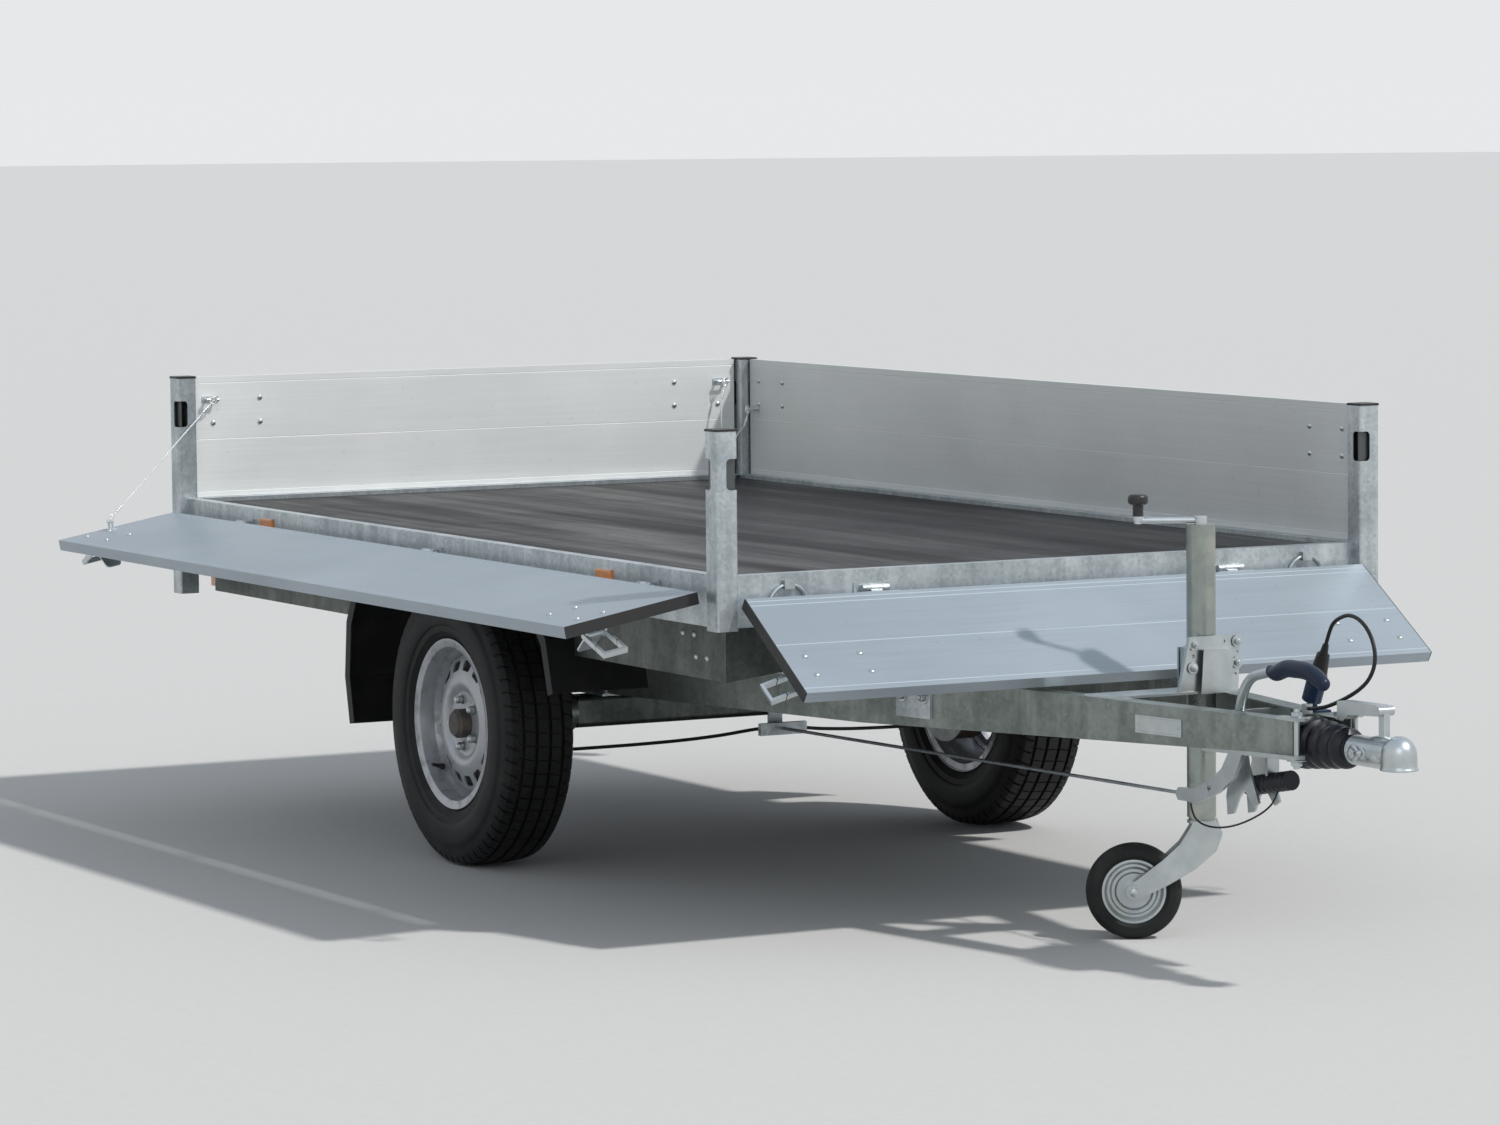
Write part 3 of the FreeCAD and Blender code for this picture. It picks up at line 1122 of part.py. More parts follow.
def section_wire(x, half_width, low, high, corner):
    # Rounded rectangle across the coupling head at x.
    y, r = half_width, corner
    a = [Vector(x, -y + r, low), Vector(x, y - r, low), Vector(x, y, low + r), Vector(x, y, high - r),
         Vector(x, y - r, high), Vector(x, -y + r, high), Vector(x, -y, high - r), Vector(x, -y, low + r)]
    k = r * (1 - math.sqrt(0.5))
    mids = [Vector(x, y - k, low + k), Vector(x, y - k, high - k), Vector(x, -y + k, high - k),
            Vector(x, -y + k, low + k)]
    edges = [Part.LineSegment(a[0], a[1]).toShape(), Part.Arc(a[1], mids[0], a[2]).toShape(),
             Part.LineSegment(a[2], a[3]).toShape(), Part.Arc(a[3], mids[1], a[4]).toShape(),
             Part.LineSegment(a[4], a[5]).toShape(), Part.Arc(a[5], mids[2], a[6]).toShape(),
             Part.LineSegment(a[6], a[7]).toShape(), Part.Arc(a[7], mids[3], a[0]).toShape()]
    return Part.Wire(edges)


def head_dome():
    # Side wall, rounded shoulder and flat top, turned about the ball's upright axis.
    d, top = HEAD_DOME_RADIUS, HEAD_TOP
    wall = Vector(d - 1, 0, -6)
    plateau = Vector(HEAD_PLATEAU, 0, top)
    side = Part.makeLine(Vector(d, 0, -HEAD_SKIRT), wall)
    shoulder = Part.Arc(wall, Vector(d - 9, 0, (top + wall.z) / 2), plateau).toShape()
    flat = Part.makeLine(plateau, Vector(0, 0, top))
    axis = Part.makeLine(Vector(0, 0, top), Vector(0, 0, -HEAD_SKIRT))
    floor = Part.makeLine(Vector(0, 0, -HEAD_SKIRT), Vector(d, 0, -HEAD_SKIRT))
    face = Part.Face(Part.Wire([side, shoulder, flat, axis, floor]))
    return face.revolve(Vector(0, 0, 0), Vector(0, 0, 1), 360)


def coupling_head():
    # Pressed head: a round neck clamped on the draw tube, widening into a flat-topped dome with a flared rim.
    neck = [section_wire(*section) for section in HEAD_SECTIONS]
    shell = Part.makeLoft(neck, True, False)
    foot = -HEAD_SKIRT - 1
    flare = (HEAD_RIM_RADIUS, HEAD_DOME_RADIUS, HEAD_RIM_THICKNESS)
    rim = Part.makeCone(*flare, Vector(0, 0, foot), Vector(0, 0, 1))
    x, z, half = HEAD_BOLT_X, -2.0, HEAD_BOLT_HALF
    bolt = rod((x, -half, z), (x, half, z), BOLT_RADIUS)
    washer = rod((x, -half + 6, z), (x, half - 6, z), 2 * BOLT_RADIUS)
    solid = fuse([shell, head_dome(), rim, bolt, washer])
    socket = rod((0, 0, foot - 1), (0, 0, 0), SOCKET_RADIUS)
    cup = Part.makeSphere(SOCKET_RADIUS)
    bore = rod((HEAD_SECTIONS[0][0] - 1, 0, 0), (DRAW_TUBE_FRONT_X, 0, 0), DRAW_TUBE_RADIUS)
    return [solid.cut(socket).cut(cup).cut(bore)]


def coupling_handle():
    # Pressed channel over the head, open below, on a round pivot boss and a strap that stands on the head.
    t = HANDLE_WALL
    y = HANDLE_HALF
    outline = [(x, low) for x, low, high in HANDLE_SIDES]
    outline += [(x, high) for x, low, high in reversed(HANDLE_SIDES)]
    lever = prism([(x, -y, z) for x, z in outline], (0, 2 * y, 0))
    inner = [(x + (t if i == 0 else 0), low - 1) for i, (x, low, high) in enumerate(HANDLE_SIDES)]
    inner += [(x + (t if x == HANDLE_SIDES[0][0] else 0), high - t) for x, low, high in reversed(HANDLE_SIDES)]
    lever = lever.cut(prism([(x, -y + t, z) for x, z in inner], (0, 2 * (y - t), 0)))
    px, pz = HANDLE_PIVOT_X, HANDLE_PIVOT_Z
    boss = rod((px, -y - 3, pz), (px, y + 3, pz), HANDLE_PIVOT_RADIUS)
    half = LINK_LENGTH / 2
    link = box((px - half, px + half), (-LINK_HALF, LINK_HALF), (HEAD_TOP - 15, pz))
    raised_head = coupling_head()[0]
    raised_head.translate(Vector(0, 0, RUNNING_GAP))
    return [fuse([lever, boss, link.cut(raised_head)])]


def handbrake_lever():
    # Bent tube rising beside the housing and leaning forward to the grip, on a cheek that pulls the rod.
    points = [(x, HANDBRAKE_Y, z) for x, z in LEVER_BENDS]
    path, radii = smooth_path(points)
    print("handbrake_lever bends", radii)
    ring = Part.Wire([Part.Circle(Vector(*points[0]), Vector(0, 0, 1), HANDBRAKE_TUBE_RADIUS).toShape()])
    lever = path.makePipeShell([ring], True, True)
    near = HANDBRAKE_Y - CHEEK_THICKNESS / 2
    cheek = prism([(x, near, up(h)) for x, h in CHEEK_CORNERS], (0, CHEEK_THICKNESS, 0))
    x, z = CHEEK_LIGHTENING_X, up(CHEEK_LIGHTENING_HEIGHT)
    cheek = cheek.cut(rod((x, near - 1, z), (x, near + CHEEK_THICKNESS + 1, z), CHEEK_LIGHTENING_RADIUS))
    x = LEVER_BENDS[0][0] - 5
    pivot = rod((x, near - 6, PIVOT_HEIGHT), (x, 0, PIVOT_HEIGHT), PIVOT_RADIUS)
    housing = Part.makeCylinder(HOUSING_TUBE_RADIUS + RUNNING_GAP, 100, Vector(x - 50, 0, 0), Vector(1, 0, 0))
    return [fuse([lever, cheek, pivot.cut(housing)])]


def handbrake_grip():
    # Arched grip that starts on the lever's end and closes in a round nose.
    (xa, za), (xb, zb) = LEVER_BENDS[-2:]
    run = Vector(xb - xa, 0, zb - za).normalize()
    first = (xb + run.x * RUNNING_GAP, zb + run.z * RUNNING_GAP, 13.0, run.z / run.x)
    wires = []
    for x, z, r, slope in (first,) + GRIP_SECTIONS:
        wires.append(Part.Wire([Part.Circle(Vector(x, HANDBRAKE_Y, z), Vector(1, 0, slope), r).toShape()]))
    x, z, r, slope = GRIP_SECTIONS[-1]
    nose = Part.makeSphere(r, Vector(x, HANDBRAKE_Y, z))
    return [fuse([Part.makeLoft(wires, True, False), nose])]


def damper_cover():
    # Ribbed rubber sleeve of the overrun damper, hung under the housing.
    rear = Vector(COVER_REAR_X, 0, up(COVER_REAR_HEIGHT))
    run = Vector(COVER_FRONT_X, 0, up(COVER_FRONT_HEIGHT)) - rear
    pitch = run.Length / COVER_RIBS
    crest, valley = COVER_RADIUS, COVER_VALLEY
    profile = [(0.0, 0.0), (crest, 0.0)]
    for i in range(COVER_RIBS):
        middle = (i + 0.5) * pitch
        profile += [(crest, (i + 0.1) * pitch), (valley, middle - 1.5), (valley, middle + 1.5),
                    (crest, (i + 0.9) * pitch)]
    profile += [(crest, run.Length), (0.0, run.Length)]
    sleeve = revolved_x(profile, (0, 0, 0))
    sleeve.rotate(Vector(0, 0, 0), Vector(0, 1, 0), -math.degrees(math.atan2(run.z, run.x)))
    sleeve.translate(rear)
    return [sleeve]


def clamp_plates():
    # Straps under and over the arms' front ends, drawn together by a bolt ahead of each arm.
    x0, x1 = HOUSING_REAR_X, ARM_FRONT_X + STRAP_REACH
    inner, outer = STRAP_INNER, STRAP_OUTER
    bolt_x = ARM_FRONT_X + STRAP_REACH / 2
    bolt_y = -(inner + outer) / 2 + 4
    slope = (ARM_FRONT_BOTTOM - ARM_DEEP_BOTTOM) / (ARM_FRONT_X - back(ARM_DEEP_STATION))
    edge = [(x0, ARM_FRONT_BOTTOM - (ARM_FRONT_X - x0) * slope), (ARM_FRONT_X, ARM_FRONT_BOTTOM),
            (x1, ARM_FRONT_BOTTOM)]
    outline = edge + [(x, h - STRAP_THICKNESS) for x, h in reversed(edge)]
    lower = prism([(x, -outer, up(h)) for x, h in outline], (0, outer - inner, 0))
    upper = box((ARM_FRONT_X - 46, x1), (-outer + 8, -inner), (up(ARM_TOP), up(ARM_TOP) + STRAP_THICKNESS - 3))
    low = up(ARM_FRONT_BOTTOM) - STRAP_THICKNESS
    high = up(ARM_TOP) + STRAP_THICKNESS - 3
    shank = rod((bolt_x, bolt_y, low - 16), (bolt_x, bolt_y, high + 12), BOLT_RADIUS)
    nut = Part.makeCylinder(BOLT_RADIUS * 1.7, 9, Vector(bolt_x, bolt_y, low - 9), Vector(0, 0, 1))
    head = Part.makeCylinder(BOLT_RADIUS * 1.7, 8, Vector(bolt_x, bolt_y, high), Vector(0, 0, 1))
    clamp = fuse([lower, upper, shank, nut, head])
    return [clamp, mirrored(clamp)]


# Jockey wheel

def jockey_tube():
    z0, z1 = up(JOCKEY_TUBE_FOOT), up(JOCKEY_TUBE_TOP)
    c = Vector(JOCKEY_X, JOCKEY_Y, z0)
    tube = Part.makeCylinder(JOCKEY_TUBE_RADIUS, z1 - z0, c, Vector(0, 0, 1))
    bore = Part.makeCylinder(JOCKEY_TUBE_RADIUS - JOCKEY_TUBE_WALL, z1 - z0 - 6, c, Vector(0, 0, 1))
    return [tube.cut(bore)]


def trail_direction():
    a = math.radians(JOCKEY_TRAIL_DEG)
    return Vector(math.cos(a), math.sin(a), 0)


def jockey_crank():
    # Crank arm on top of the tube with a mushroom-shaped turning knob.
    d = trail_direction()
    c = Vector(JOCKEY_X, JOCKEY_Y, up(JOCKEY_TUBE_TOP))
    rise = Vector(0, 0, CRANK_BOSS_HEIGHT / 2)
    boss = Part.makeCylinder(CRANK_BOSS_RADIUS, CRANK_BOSS_HEIGHT, c, Vector(0, 0, 1))
    elbow = c + d * CRANK_REACH + rise
    arm = rod(tuple(c + rise), tuple(elbow), CRANK_RADIUS)
    corner = Part.makeCylinder(CRANK_RADIUS + 2, 2 * CRANK_RADIUS + 2, elbow - Vector(0, 0, CRANK_RADIUS + 1),
                               Vector(0, 0, 1))
    neck = Part.makeCylinder(KNOB_NECK_RADIUS, KNOB_HEIGHT - KNOB_HEAD, elbow, Vector(0, 0, 1))
    low = elbow + Vector(0, 0, KNOB_HEIGHT - KNOB_HEAD)
    head = Part.makeCylinder(KNOB_RADIUS, KNOB_HEAD, low, Vector(0, 0, 1))
    head = head.makeFillet(KNOB_ROUND, [e for e in head.Edges if e.Length > 2 * math.pi * KNOB_RADIUS - 1])
    return [fuse([boss, arm, corner, neck, head])]


def jockey_leg():
    # Inner tube that slides in the outer one.
    c = Vector(JOCKEY_X, JOCKEY_Y, up(JOCKEY_TUBE_FOOT) - 6)
    radius = JOCKEY_TUBE_RADIUS - JOCKEY_TUBE_WALL - RUNNING_GAP
    leg = Part.makeCylinder(radius, JOCKEY_LEG_LENGTH, c, Vector(0, 0, 1))
    return [leg]


def jockey_fork():
    # Two cranked plates with a pressed rib, from the head plate down to the wheel's axle.
    d = trail_direction()
    side = Vector(-d.y, d.x, 0)
    c = Vector(JOCKEY_X, JOCKEY_Y, 0)
    axle = c + d * JOCKEY_TRAIL + Vector(0, 0, up(JOCKEY_WHEEL_RADIUS))
    head_z = up(JOCKEY_TUBE_FOOT) - 6 - RUNNING_GAP
    parts = []
    for s in (-1, 1):
        off = side * (s * FORK_INSIDE)
        outward = side * s
        outline = [c + d * u + off + Vector(0, 0, min(up(h), head_z)) for u, h in FORK_CORNERS]
        plate = Part.Face(Part.makePolygon(outline + [outline[0]])).extrude(outward * FORK_PLATE)
        bends = [e for e in plate.Edges if abs(e.Length - FORK_PLATE) < 1e-6 and e.CenterOfMass.z < head_z - 5]
        parts.append(plate.makeFillet(FORK_BEND_RADIUS, bends))
        parts.append(Part.makeCylinder(FORK_TIP_RADIUS, FORK_PLATE, axle + off, outward))
        ends = [c + d * u + off + Vector(0, 0, up(h)) for u, h in FORK_RIB]
        height = FORK_PLATE + FORK_RIB_HEIGHT
        parts += [Part.makeCylinder(FORK_RIB_RADIUS, height, end, outward) for end in ends]
        along = (ends[1] - ends[0]).normalize()
        wide = along.cross(outward) * FORK_RIB_RADIUS
        strip = [ends[0] - wide, ends[1] - wide, ends[1] + wide, ends[0] + wide]
        parts.append(Part.Face(Part.makePolygon(strip + [strip[0]])).extrude(outward * height))
    low = c + Vector(0, 0, head_z - FORK_HEAD_THICKNESS)
    head = Part.makeCylinder(FORK_INSIDE + 1, FORK_HEAD_THICKNESS, low, Vector(0, 0, 1))
    span = FORK_INSIDE + FORK_PLATE
    pin = Part.makeCylinder(FORK_PIN_RADIUS, 2 * span + 12, axle - side * (span + 6), side)
    return [fuse(parts + [head, pin])]


def jockey_revolved(profile):
    d = trail_direction()
    side = Vector(-d.y, d.x, 0)
    axle = Vector(JOCKEY_X, JOCKEY_Y, 0) + d * JOCKEY_TRAIL + Vector(0, 0, up(JOCKEY_WHEEL_RADIUS))
    points = [axle + side * a + Vector(0, 0, r) for r, a in profile]
    face = Part.Face(Part.makePolygon(points + [points[0]]))
    return face.revolve(axle, side, 360)


def jockey_tyre():
    r, h = JOCKEY_WHEEL_RADIUS, JOCKEY_WHEEL_WIDTH / 2
    i = JOCKEY_RIM_RADIUS
    half = [(i, h - 6), (i + 8, h - 1), (r - 12, h - 2), (r - 3, h - 9), (r, h - 17)]
    return [jockey_revolved([(radius, -a) for radius, a in half] + half[::-1])]


def jockey_rim():
    # Hub tube, a pressed disc with one raised ring, and the rim that the tyre sits on.
    i, h = JOCKEY_RIM_RADIUS, JOCKEY_WHEEL_WIDTH / 2
    b = FORK_PIN_RADIUS + PIN_CLEARANCE
    half = [(b, h + 2), (17, h + 2), (17, 8), (36, 8), (40, 13), (46, 13), (50, 7), (55, 7), (61, h - 6),
            (i, h - 6)]
    return [jockey_revolved(half + [(radius, -a) for radius, a in reversed(half)])]


def jockey_clamp():
    # Cross plate on both arms, the bolted plate in front of the tube with a blank tag, and the clamp ring.
    x, y = JOCKEY_X, JOCKEY_Y
    t = CLAMP_PLATE_THICKNESS
    b = CLAMP_BASE_HALF
    right = [(px, arm_y(px) + ARM_WALL) for px in (x - b, x + b)]
    corners = right + [(px, -py) for px, py in reversed(right)]
    base = prism([(px, py, up(ARM_TOP)) for px, py in corners], (0, 0, t))
    r = JOCKEY_TUBE_RADIUS + RUNNING_GAP
    w = r + CLAMP_RING_WALL
    low, high = up(CLAMP_RING_LOW), up(CLAMP_RING_HIGH)
    ring = Part.makeCylinder(w, high - low, Vector(x, y, low), Vector(0, 0, 1))
    front = x + w - 1
    face = front + t
    plate = prism([(front, y + dy, up(h)) for dy, h in CLAMP_CORNERS], (t, 0, 0))
    (ya, za), (yb, zb) = CLAMP_CORNERS[0], CLAMP_CORNERS[-1]
    fold = prism([(front, y + ya, up(za)), (front, y + ya + t, up(za)), (front, y + yb + t, up(zb)),
                  (front, y + yb, up(zb))], (CLAMP_FOLD, 0, 0))
    for dy, h in CLAMP_HOLES:
        plate = plate.cut(rod((front - 1, y + dy, up(h)), (face + 1, y + dy, up(h)), CLAMP_HOLE_RADIUS))
    reach = w + CLAMP_EAR_REACH
    ears = box((x - 9, front), (y - reach, y + reach), (low, high))
    s = CLAMP_SLIT_HALF
    slit = box((x - s, x + s), (y - reach - 1, y + reach + 1), (low - 1, high + 1))
    bolts = [rod((face - 14, y + dy, up(h)), (face + 8, y + dy, up(h)), CLAMP_BOLT_RADIUS)
             for dy, h in CLAMP_BOLTS]
    tag_x = face + TAG_STANDOFF
    tag = prism([(tag_x, y + dy, up(h)) for dy, h in TAG_CORNERS], (TAG_THICKNESS, 0, 0))
    edge = [(y + dy, up(h)) for dy, h in TAG_CORNERS[2:]]
    strip = edge + [(ey, ez - TAG_THICKNESS) for ey, ez in reversed(edge)]
    roof = prism([(face - 1, ey, ez) for ey, ez in strip], (TAG_STANDOFF + 1 + TAG_THICKNESS, 0, 0))
    body = fuse([base, ring, plate, fold, ears, tag, roof] + bolts).cut(slit)
    bore = Part.makeCylinder(r, 400, Vector(x, y, up(ARM_TOP) - 40), Vector(0, 0, 1))
    return body.cut(bore).Solids


# Brake linkage under the chassis

def brake_rod():
    # Rod from the lever's cheek to the balance bar, and the bar in front of the axle tube.
    rear_x = back(TUBE_STATION) + TUBE_SIZE / 2 + ROD_BEFORE_TUBE
    front_z, rear_z = up(ROD_FRONT_HEIGHT), up(ROD_REAR_HEIGHT)
    y = HANDBRAKE_Y + CHEEK_THICKNESS / 2 + ROD_RADIUS
    half = BALANCE_DEPTH / 2
    pin = rod((ROD_FRONT_X + 24, y, front_z), (ROD_FRONT_X - 9, y, front_z), ROD_RADIUS)
    line = rod((ROD_FRONT_X - 5, y, front_z), (rear_x, 0, rear_z), ROD_RADIUS - 0.3)
    bar = box((rear_x - half, rear_x + half), (-BALANCE_HALF, BALANCE_HALF),
              (rear_z - BALANCE_HEIGHT / 2, rear_z + BALANCE_HEIGHT / 2))
    tube_face = rear_x - ROD_BEFORE_TUBE + RUNNING_GAP / 3
    strap = (-BALANCE_STRAP_HALF, BALANCE_STRAP_HALF)
    bracket = box((tube_face, rear_x - half), strap, (rear_z + 2, rear_z + 8))
    tongue = box((tube_face, tube_face + 6), strap, (rear_z + 2, up(TUBE_HEIGHT)))
    return [fuse([pin, line, bar, bracket, tongue])]


def brake_cables():
    # Sheathed cables from the balance bar to the back plates, one to each wheel.
    x = back(TUBE_STATION) + TUBE_SIZE / 2 + ROD_BEFORE_TUBE - BALANCE_DEPTH / 2 - RUNNING_GAP
    z = up(ROD_REAR_HEIGHT)
    points = [(x, 44, z), (x - 24, 45, z - 1), (x - 40, 72, z - 6), (x - 52, 128, z - 14),
              (x - 66, 215, z - 21), (x - 86, 320, z - 26), (x - 106, 420, z - 29), (x - 122, 500, z - 31),
              (x - 124, BACKPLATE_Y - RUNNING_GAP, z - 31)]
    tube = cord_tube("brake_cables", points, BRAKE_CABLE_RADIUS)
    return [mirrored(tube), tube]


# Rear lamps, number plate carrier, reflectors and lashing rings

def rear_lamps():
    x = back(BEAM_STATIONS[-1])
    low, high = up(LAMP_LOW), up(LAMP_LOW + LAMP_HEIGHT)
    lamp = box((x - LAMP_DEPTH, x), (LAMP_OUTER - LAMP_LENGTH, LAMP_OUTER), (low, high))
    rear_edges = [e for e in lamp.Edges if max(v.X for v in e.Vertexes) < x - LAMP_DEPTH + 0.1]
    lamp = lamp.makeFillet(LAMP_ROUND, rear_edges)
    return [mirrored(lamp), lamp]


def number_plate():
    x = back(BEAM_STATIONS[-1])
    h = PLATE_LENGTH / 2
    low = up(BEAM_CENTRE_BOTTOM) + 4
    plate = box((x - PLATE_THICKNESS, x), (-h, h), (low, low + PLATE_HEIGHT))
    return [plate.makeFillet(PLATE_CORNER, [e for e in plate.Edges if across(e, "x")])]


def side_reflectors():
    solids = []
    for station in REFLECTOR_STATIONS:
        x, z = back(station), up(REFLECTOR_HEIGHT)
        face = RAIL_LINE + REFLECTOR_THICKNESS
        lens = box((x - REFLECTOR_LENGTH / 2, x + REFLECTOR_LENGTH / 2), (RAIL_LINE, face),
                   (z - REFLECTOR_DEPTH / 2, z + REFLECTOR_DEPTH / 2))
        rim = [e for e in lens.Edges if min(v.Y for v in e.Vertexes) > face - 0.1]
        lens = lens.makeChamfer(REFLECTOR_CHAMFER, rim)
        solids += [mirrored(lens), lens]
    return solids


def lashing_rings():
    # Rings lying against the front rail, each held by a staple at its top.
    x = back(RAIL_INSET)
    middle = x + RING_BAR + 2 * RUNNING_GAP
    solids = []
    for side in (-1, 1):
        y, z = side * RING_PLACE, up(RING_HEIGHT)
        ring = Part.makeTorus(RING_RADIUS, RING_BAR, Vector(middle, y, z), Vector(1, 0, 0))
        top = z + RING_RADIUS
        half = RING_STAPLE_HALF
        staple = box((x, x + 2 * RING_BAR + 4), (y - half, y + half), (top - 9, top + 9))
        room = Part.makeTorus(RING_RADIUS, RING_BAR + RUNNING_GAP, Vector(middle, y, z), Vector(1, 0, 0))
        solids += [ring, staple.cut(room)]
    return solids


# Corner cables

def board_point(name, x, y, z):
    # A point of a board's own frame in the part's frame.
    spot = placed_board(Part.Vertex(x, y, z), name)
    return spot.Point


def corner_cable(side):
    # Wire from the eye on the rear board to the staple on a side board.
    name = "right" if side < 0 else "left"
    lift = BOARD_THICKNESS / 2 + STAPLE_HEIGHT + STAPLE_BAR + CABLE_RADIUS + RUNNING_GAP
    start = board_point("rear", side * EYE_PLACE, -lift, EYE_FROM_PIN)
    place = SIDE_BOARD_LENGTH / 2 - STAPLE_FROM_END - STAPLE_HALF
    end = board_point(name, -side * place, -lift, STAPLE_FROM_PIN)
    return start, end


def right_cable():
    start, end = corner_cable(-1)
    return [rod(tuple(start), tuple(end), CABLE_RADIUS)]


def left_cable():
    start, end = corner_cable(1)
    points = [tuple(start)]
    points += [(start.x + dx, start.y + dy, start.z + dz) for dx, dy, dz in SLACK_ROUTE]
    points += [(end.x + 2, end.y - 1, end.z - 34), tuple(end)]
    return [cord_tube("left_cable", points, CABLE_RADIUS)]


# Plug, holder and leads

def lean():
    a = math.radians(PLUG_LEAN_DEG)
    return Vector(math.sin(a), 0, math.cos(a))


def plug_holder():
    # Socket-shaped holder on a strap that stands on the overrun housing.
    axis = lean()
    top = Vector(HOLDER_X, HOLDER_Y, up(HOLDER_TOP))
    cup = Part.makeCylinder(HOLDER_RADIUS, HOLDER_LENGTH, top - axis * HOLDER_LENGTH, axis)
    foot = top - axis * (HOLDER_LENGTH - 4)
    w = HOLDER_STRAP_HALF
    strap = box((foot.x - w, foot.x + w), (HOLDER_Y - 3, HOLDER_Y + 3), (up(ARM_TOP), foot.z + 8))
    flange = box((foot.x - w - 4, foot.x + w + 4), (HOLDER_Y - 3, -arm_y(foot.x + w + 4) - 2),
                 (up(ARM_TOP), up(ARM_TOP) + 4))
    return [fuse([cup, strap, flange])]


def plug():
    # Round plug standing in its holder, with a skirt, a tapering body and the lead's strain relief.
    axis = lean()
    top = Vector(HOLDER_X, HOLDER_Y, up(HOLDER_TOP)) + axis * RUNNING_GAP
    skirt = Part.makeCylinder(PLUG_RADIUS + 2, PLUG_SKIRT, top, axis)
    middle, end = top + axis * PLUG_SKIRT, top + axis * PLUG_LENGTH
    body = Part.makeCone(PLUG_RADIUS + 1, PLUG_RADIUS - 4, PLUG_LENGTH - PLUG_SKIRT, middle, axis)
    relief = Part.makeCone(PLUG_RADIUS - 8, LEAD_RADIUS + 2, PLUG_TAPER, end, axis)
    return [fuse([skirt, body, relief])]


def plug_lead():
    # Lead from the plug's end, over in a loop and back to the clip on the housing's collar.
    axis = lean()
    leave = Vector(HOLDER_X, HOLDER_Y, up(HOLDER_TOP)) + axis * (RUNNING_GAP * 2 + PLUG_LENGTH + PLUG_TAPER)
    points = [tuple(leave), tuple(leave + axis * 26), (-298, 49.5, 233), (-270, 48, 246), (-236, 46, 254),
              (-196, 43, 248), (-160, 40, 228), (-136, 37, 198), (-130, 34, 165), (-146, 31, 134),
              (-176, 28, 112), (-214, 26, 94), (-256, 24, 78), (-300, 23, 65),
              (CLIP_X + CLIP_HALF + 2 * RUNNING_GAP, 23, 61)]
    return [cord_tube("plug_lead", points, LEAD_RADIUS)]


def lead_clip():
    # Clip on the housing's collar where the plug lead goes in.
    collar = Part.makeCylinder(COLLAR_RADIUS + RUNNING_GAP / 2, 60, Vector(CLIP_X - 20, 0, 0), Vector(1, 0, 0))
    return [box((CLIP_X - CLIP_HALF, CLIP_X + CLIP_HALF), (14, 32), (30, 70)).cut(collar)]


def safety_cable():
    # Thin cable from the damper's sleeve, hanging and hooked under the brake cheek.
    x = -404
    z = up(COVER_REAR_HEIGHT + (COVER_FRONT_HEIGHT - COVER_REAR_HEIGHT) * (x - COVER_REAR_X)
           / (COVER_FRONT_X - COVER_REAR_X))
    r = COVER_RADIUS + 3 * RUNNING_GAP
    points = [(x, -r / 2, z - r * math.cos(math.radians(30))), (x - 1, -18, up(334)), (-424, -26, up(314)),
              (-456, -34, up(296)), (-500, -40, up(279)), (-546, -44, up(268)), (-592, -46, up(264)),
              (-632, -47.5, up(268)), (-658, -48.5, up(283)), (-664, -48.5, up(305.6))]
    return [cord_tube("safety_cable", points, SAFETY_RADIUS)]


# (place along the board, height above the pin) of each board's cable eyes
SIDE_EYE_PLACE = SIDE_BOARD_LENGTH / 2 - STAPLE_FROM_END - STAPLE_HALF
STAPLES = {
    "rear": ((-EYE_PLACE, EYE_FROM_PIN), (EYE_PLACE, EYE_FROM_PIN)),
    "right": ((SIDE_EYE_PLACE, STAPLE_FROM_PIN),),
    "left": ((-SIDE_EYE_PLACE, STAPLE_FROM_PIN),),
}


# Write every node

def write(name, solids):
    shape = solids[0] if len(solids) == 1 else Part.makeCompound(solids)
    shape.exportStep(os.path.join("parts", name + ".step"))
    bad = [s for s in shape.Solids if not s.isValid()]
    print(name, "solids", len(shape.Solids), "bad", len(bad), "volume", round(shape.Volume / 1000))


NODES = {
    "side_rails": side_rails(),
    "end_rails": end_rails(),
    "floor_board": floor_board(),
    "cross_members": cross_members(),
    "side_panels": side_panels(),
    "long_members": long_members(),
    "deep_beams": deep_beams(),
    "corner_posts": corner_posts(),
    "post_caps": post_caps(),
    "hinge_leaves": hinge_leaves(),
    "drawbar_arms": drawbar_arms(),
    "mounting_brackets": mounting_brackets(),
    "axle_tube": axle_tube(),
    "swing_arms": swing_arms(),
    "mudguards": mudguards(),
    "overrun_housing": overrun_housing(),
    "bellows": bellows(),
    "coupling_head": coupling_head(),
    "coupling_handle": coupling_handle(),
    "handbrake_lever": handbrake_lever(),
    "handbrake_grip": handbrake_grip(),
    "damper_cover": damper_cover(),
    "clamp_plates": clamp_plates(),
    "jockey_clamp": jockey_clamp(),
    "brake_rod": brake_rod(),
    "brake_cables": brake_cables(),
    "rear_lamps": rear_lamps(),
    "number_plate": number_plate(),
    "side_reflectors": side_reflectors(),
    "lashing_rings": lashing_rings(),
    "right_cable": right_cable(),
    "left_cable": left_cable(),
    "plug_holder": plug_holder(),
    "plug": plug(),
    "plug_lead": plug_lead(),
    "lead_clip": lead_clip(),
    "safety_cable": safety_cable(),
    "jockey_tube": jockey_tube(),
    "jockey_crank": jockey_crank(),
    "jockey_leg": jockey_leg(),
    "jockey_fork": jockey_fork(),
    "jockey_tyre": jockey_tyre(),
    "jockey_rim": jockey_rim(),
    "tyre_left": [tyre()],
    "tyre_right": [mirrored(tyre())],
    "rim_left": [wheel_rim()],
    "rim_right": [mirrored(wheel_rim())],
    "drum_left": [brake_drum()],
    "drum_right": [mirrored(brake_drum())],
}
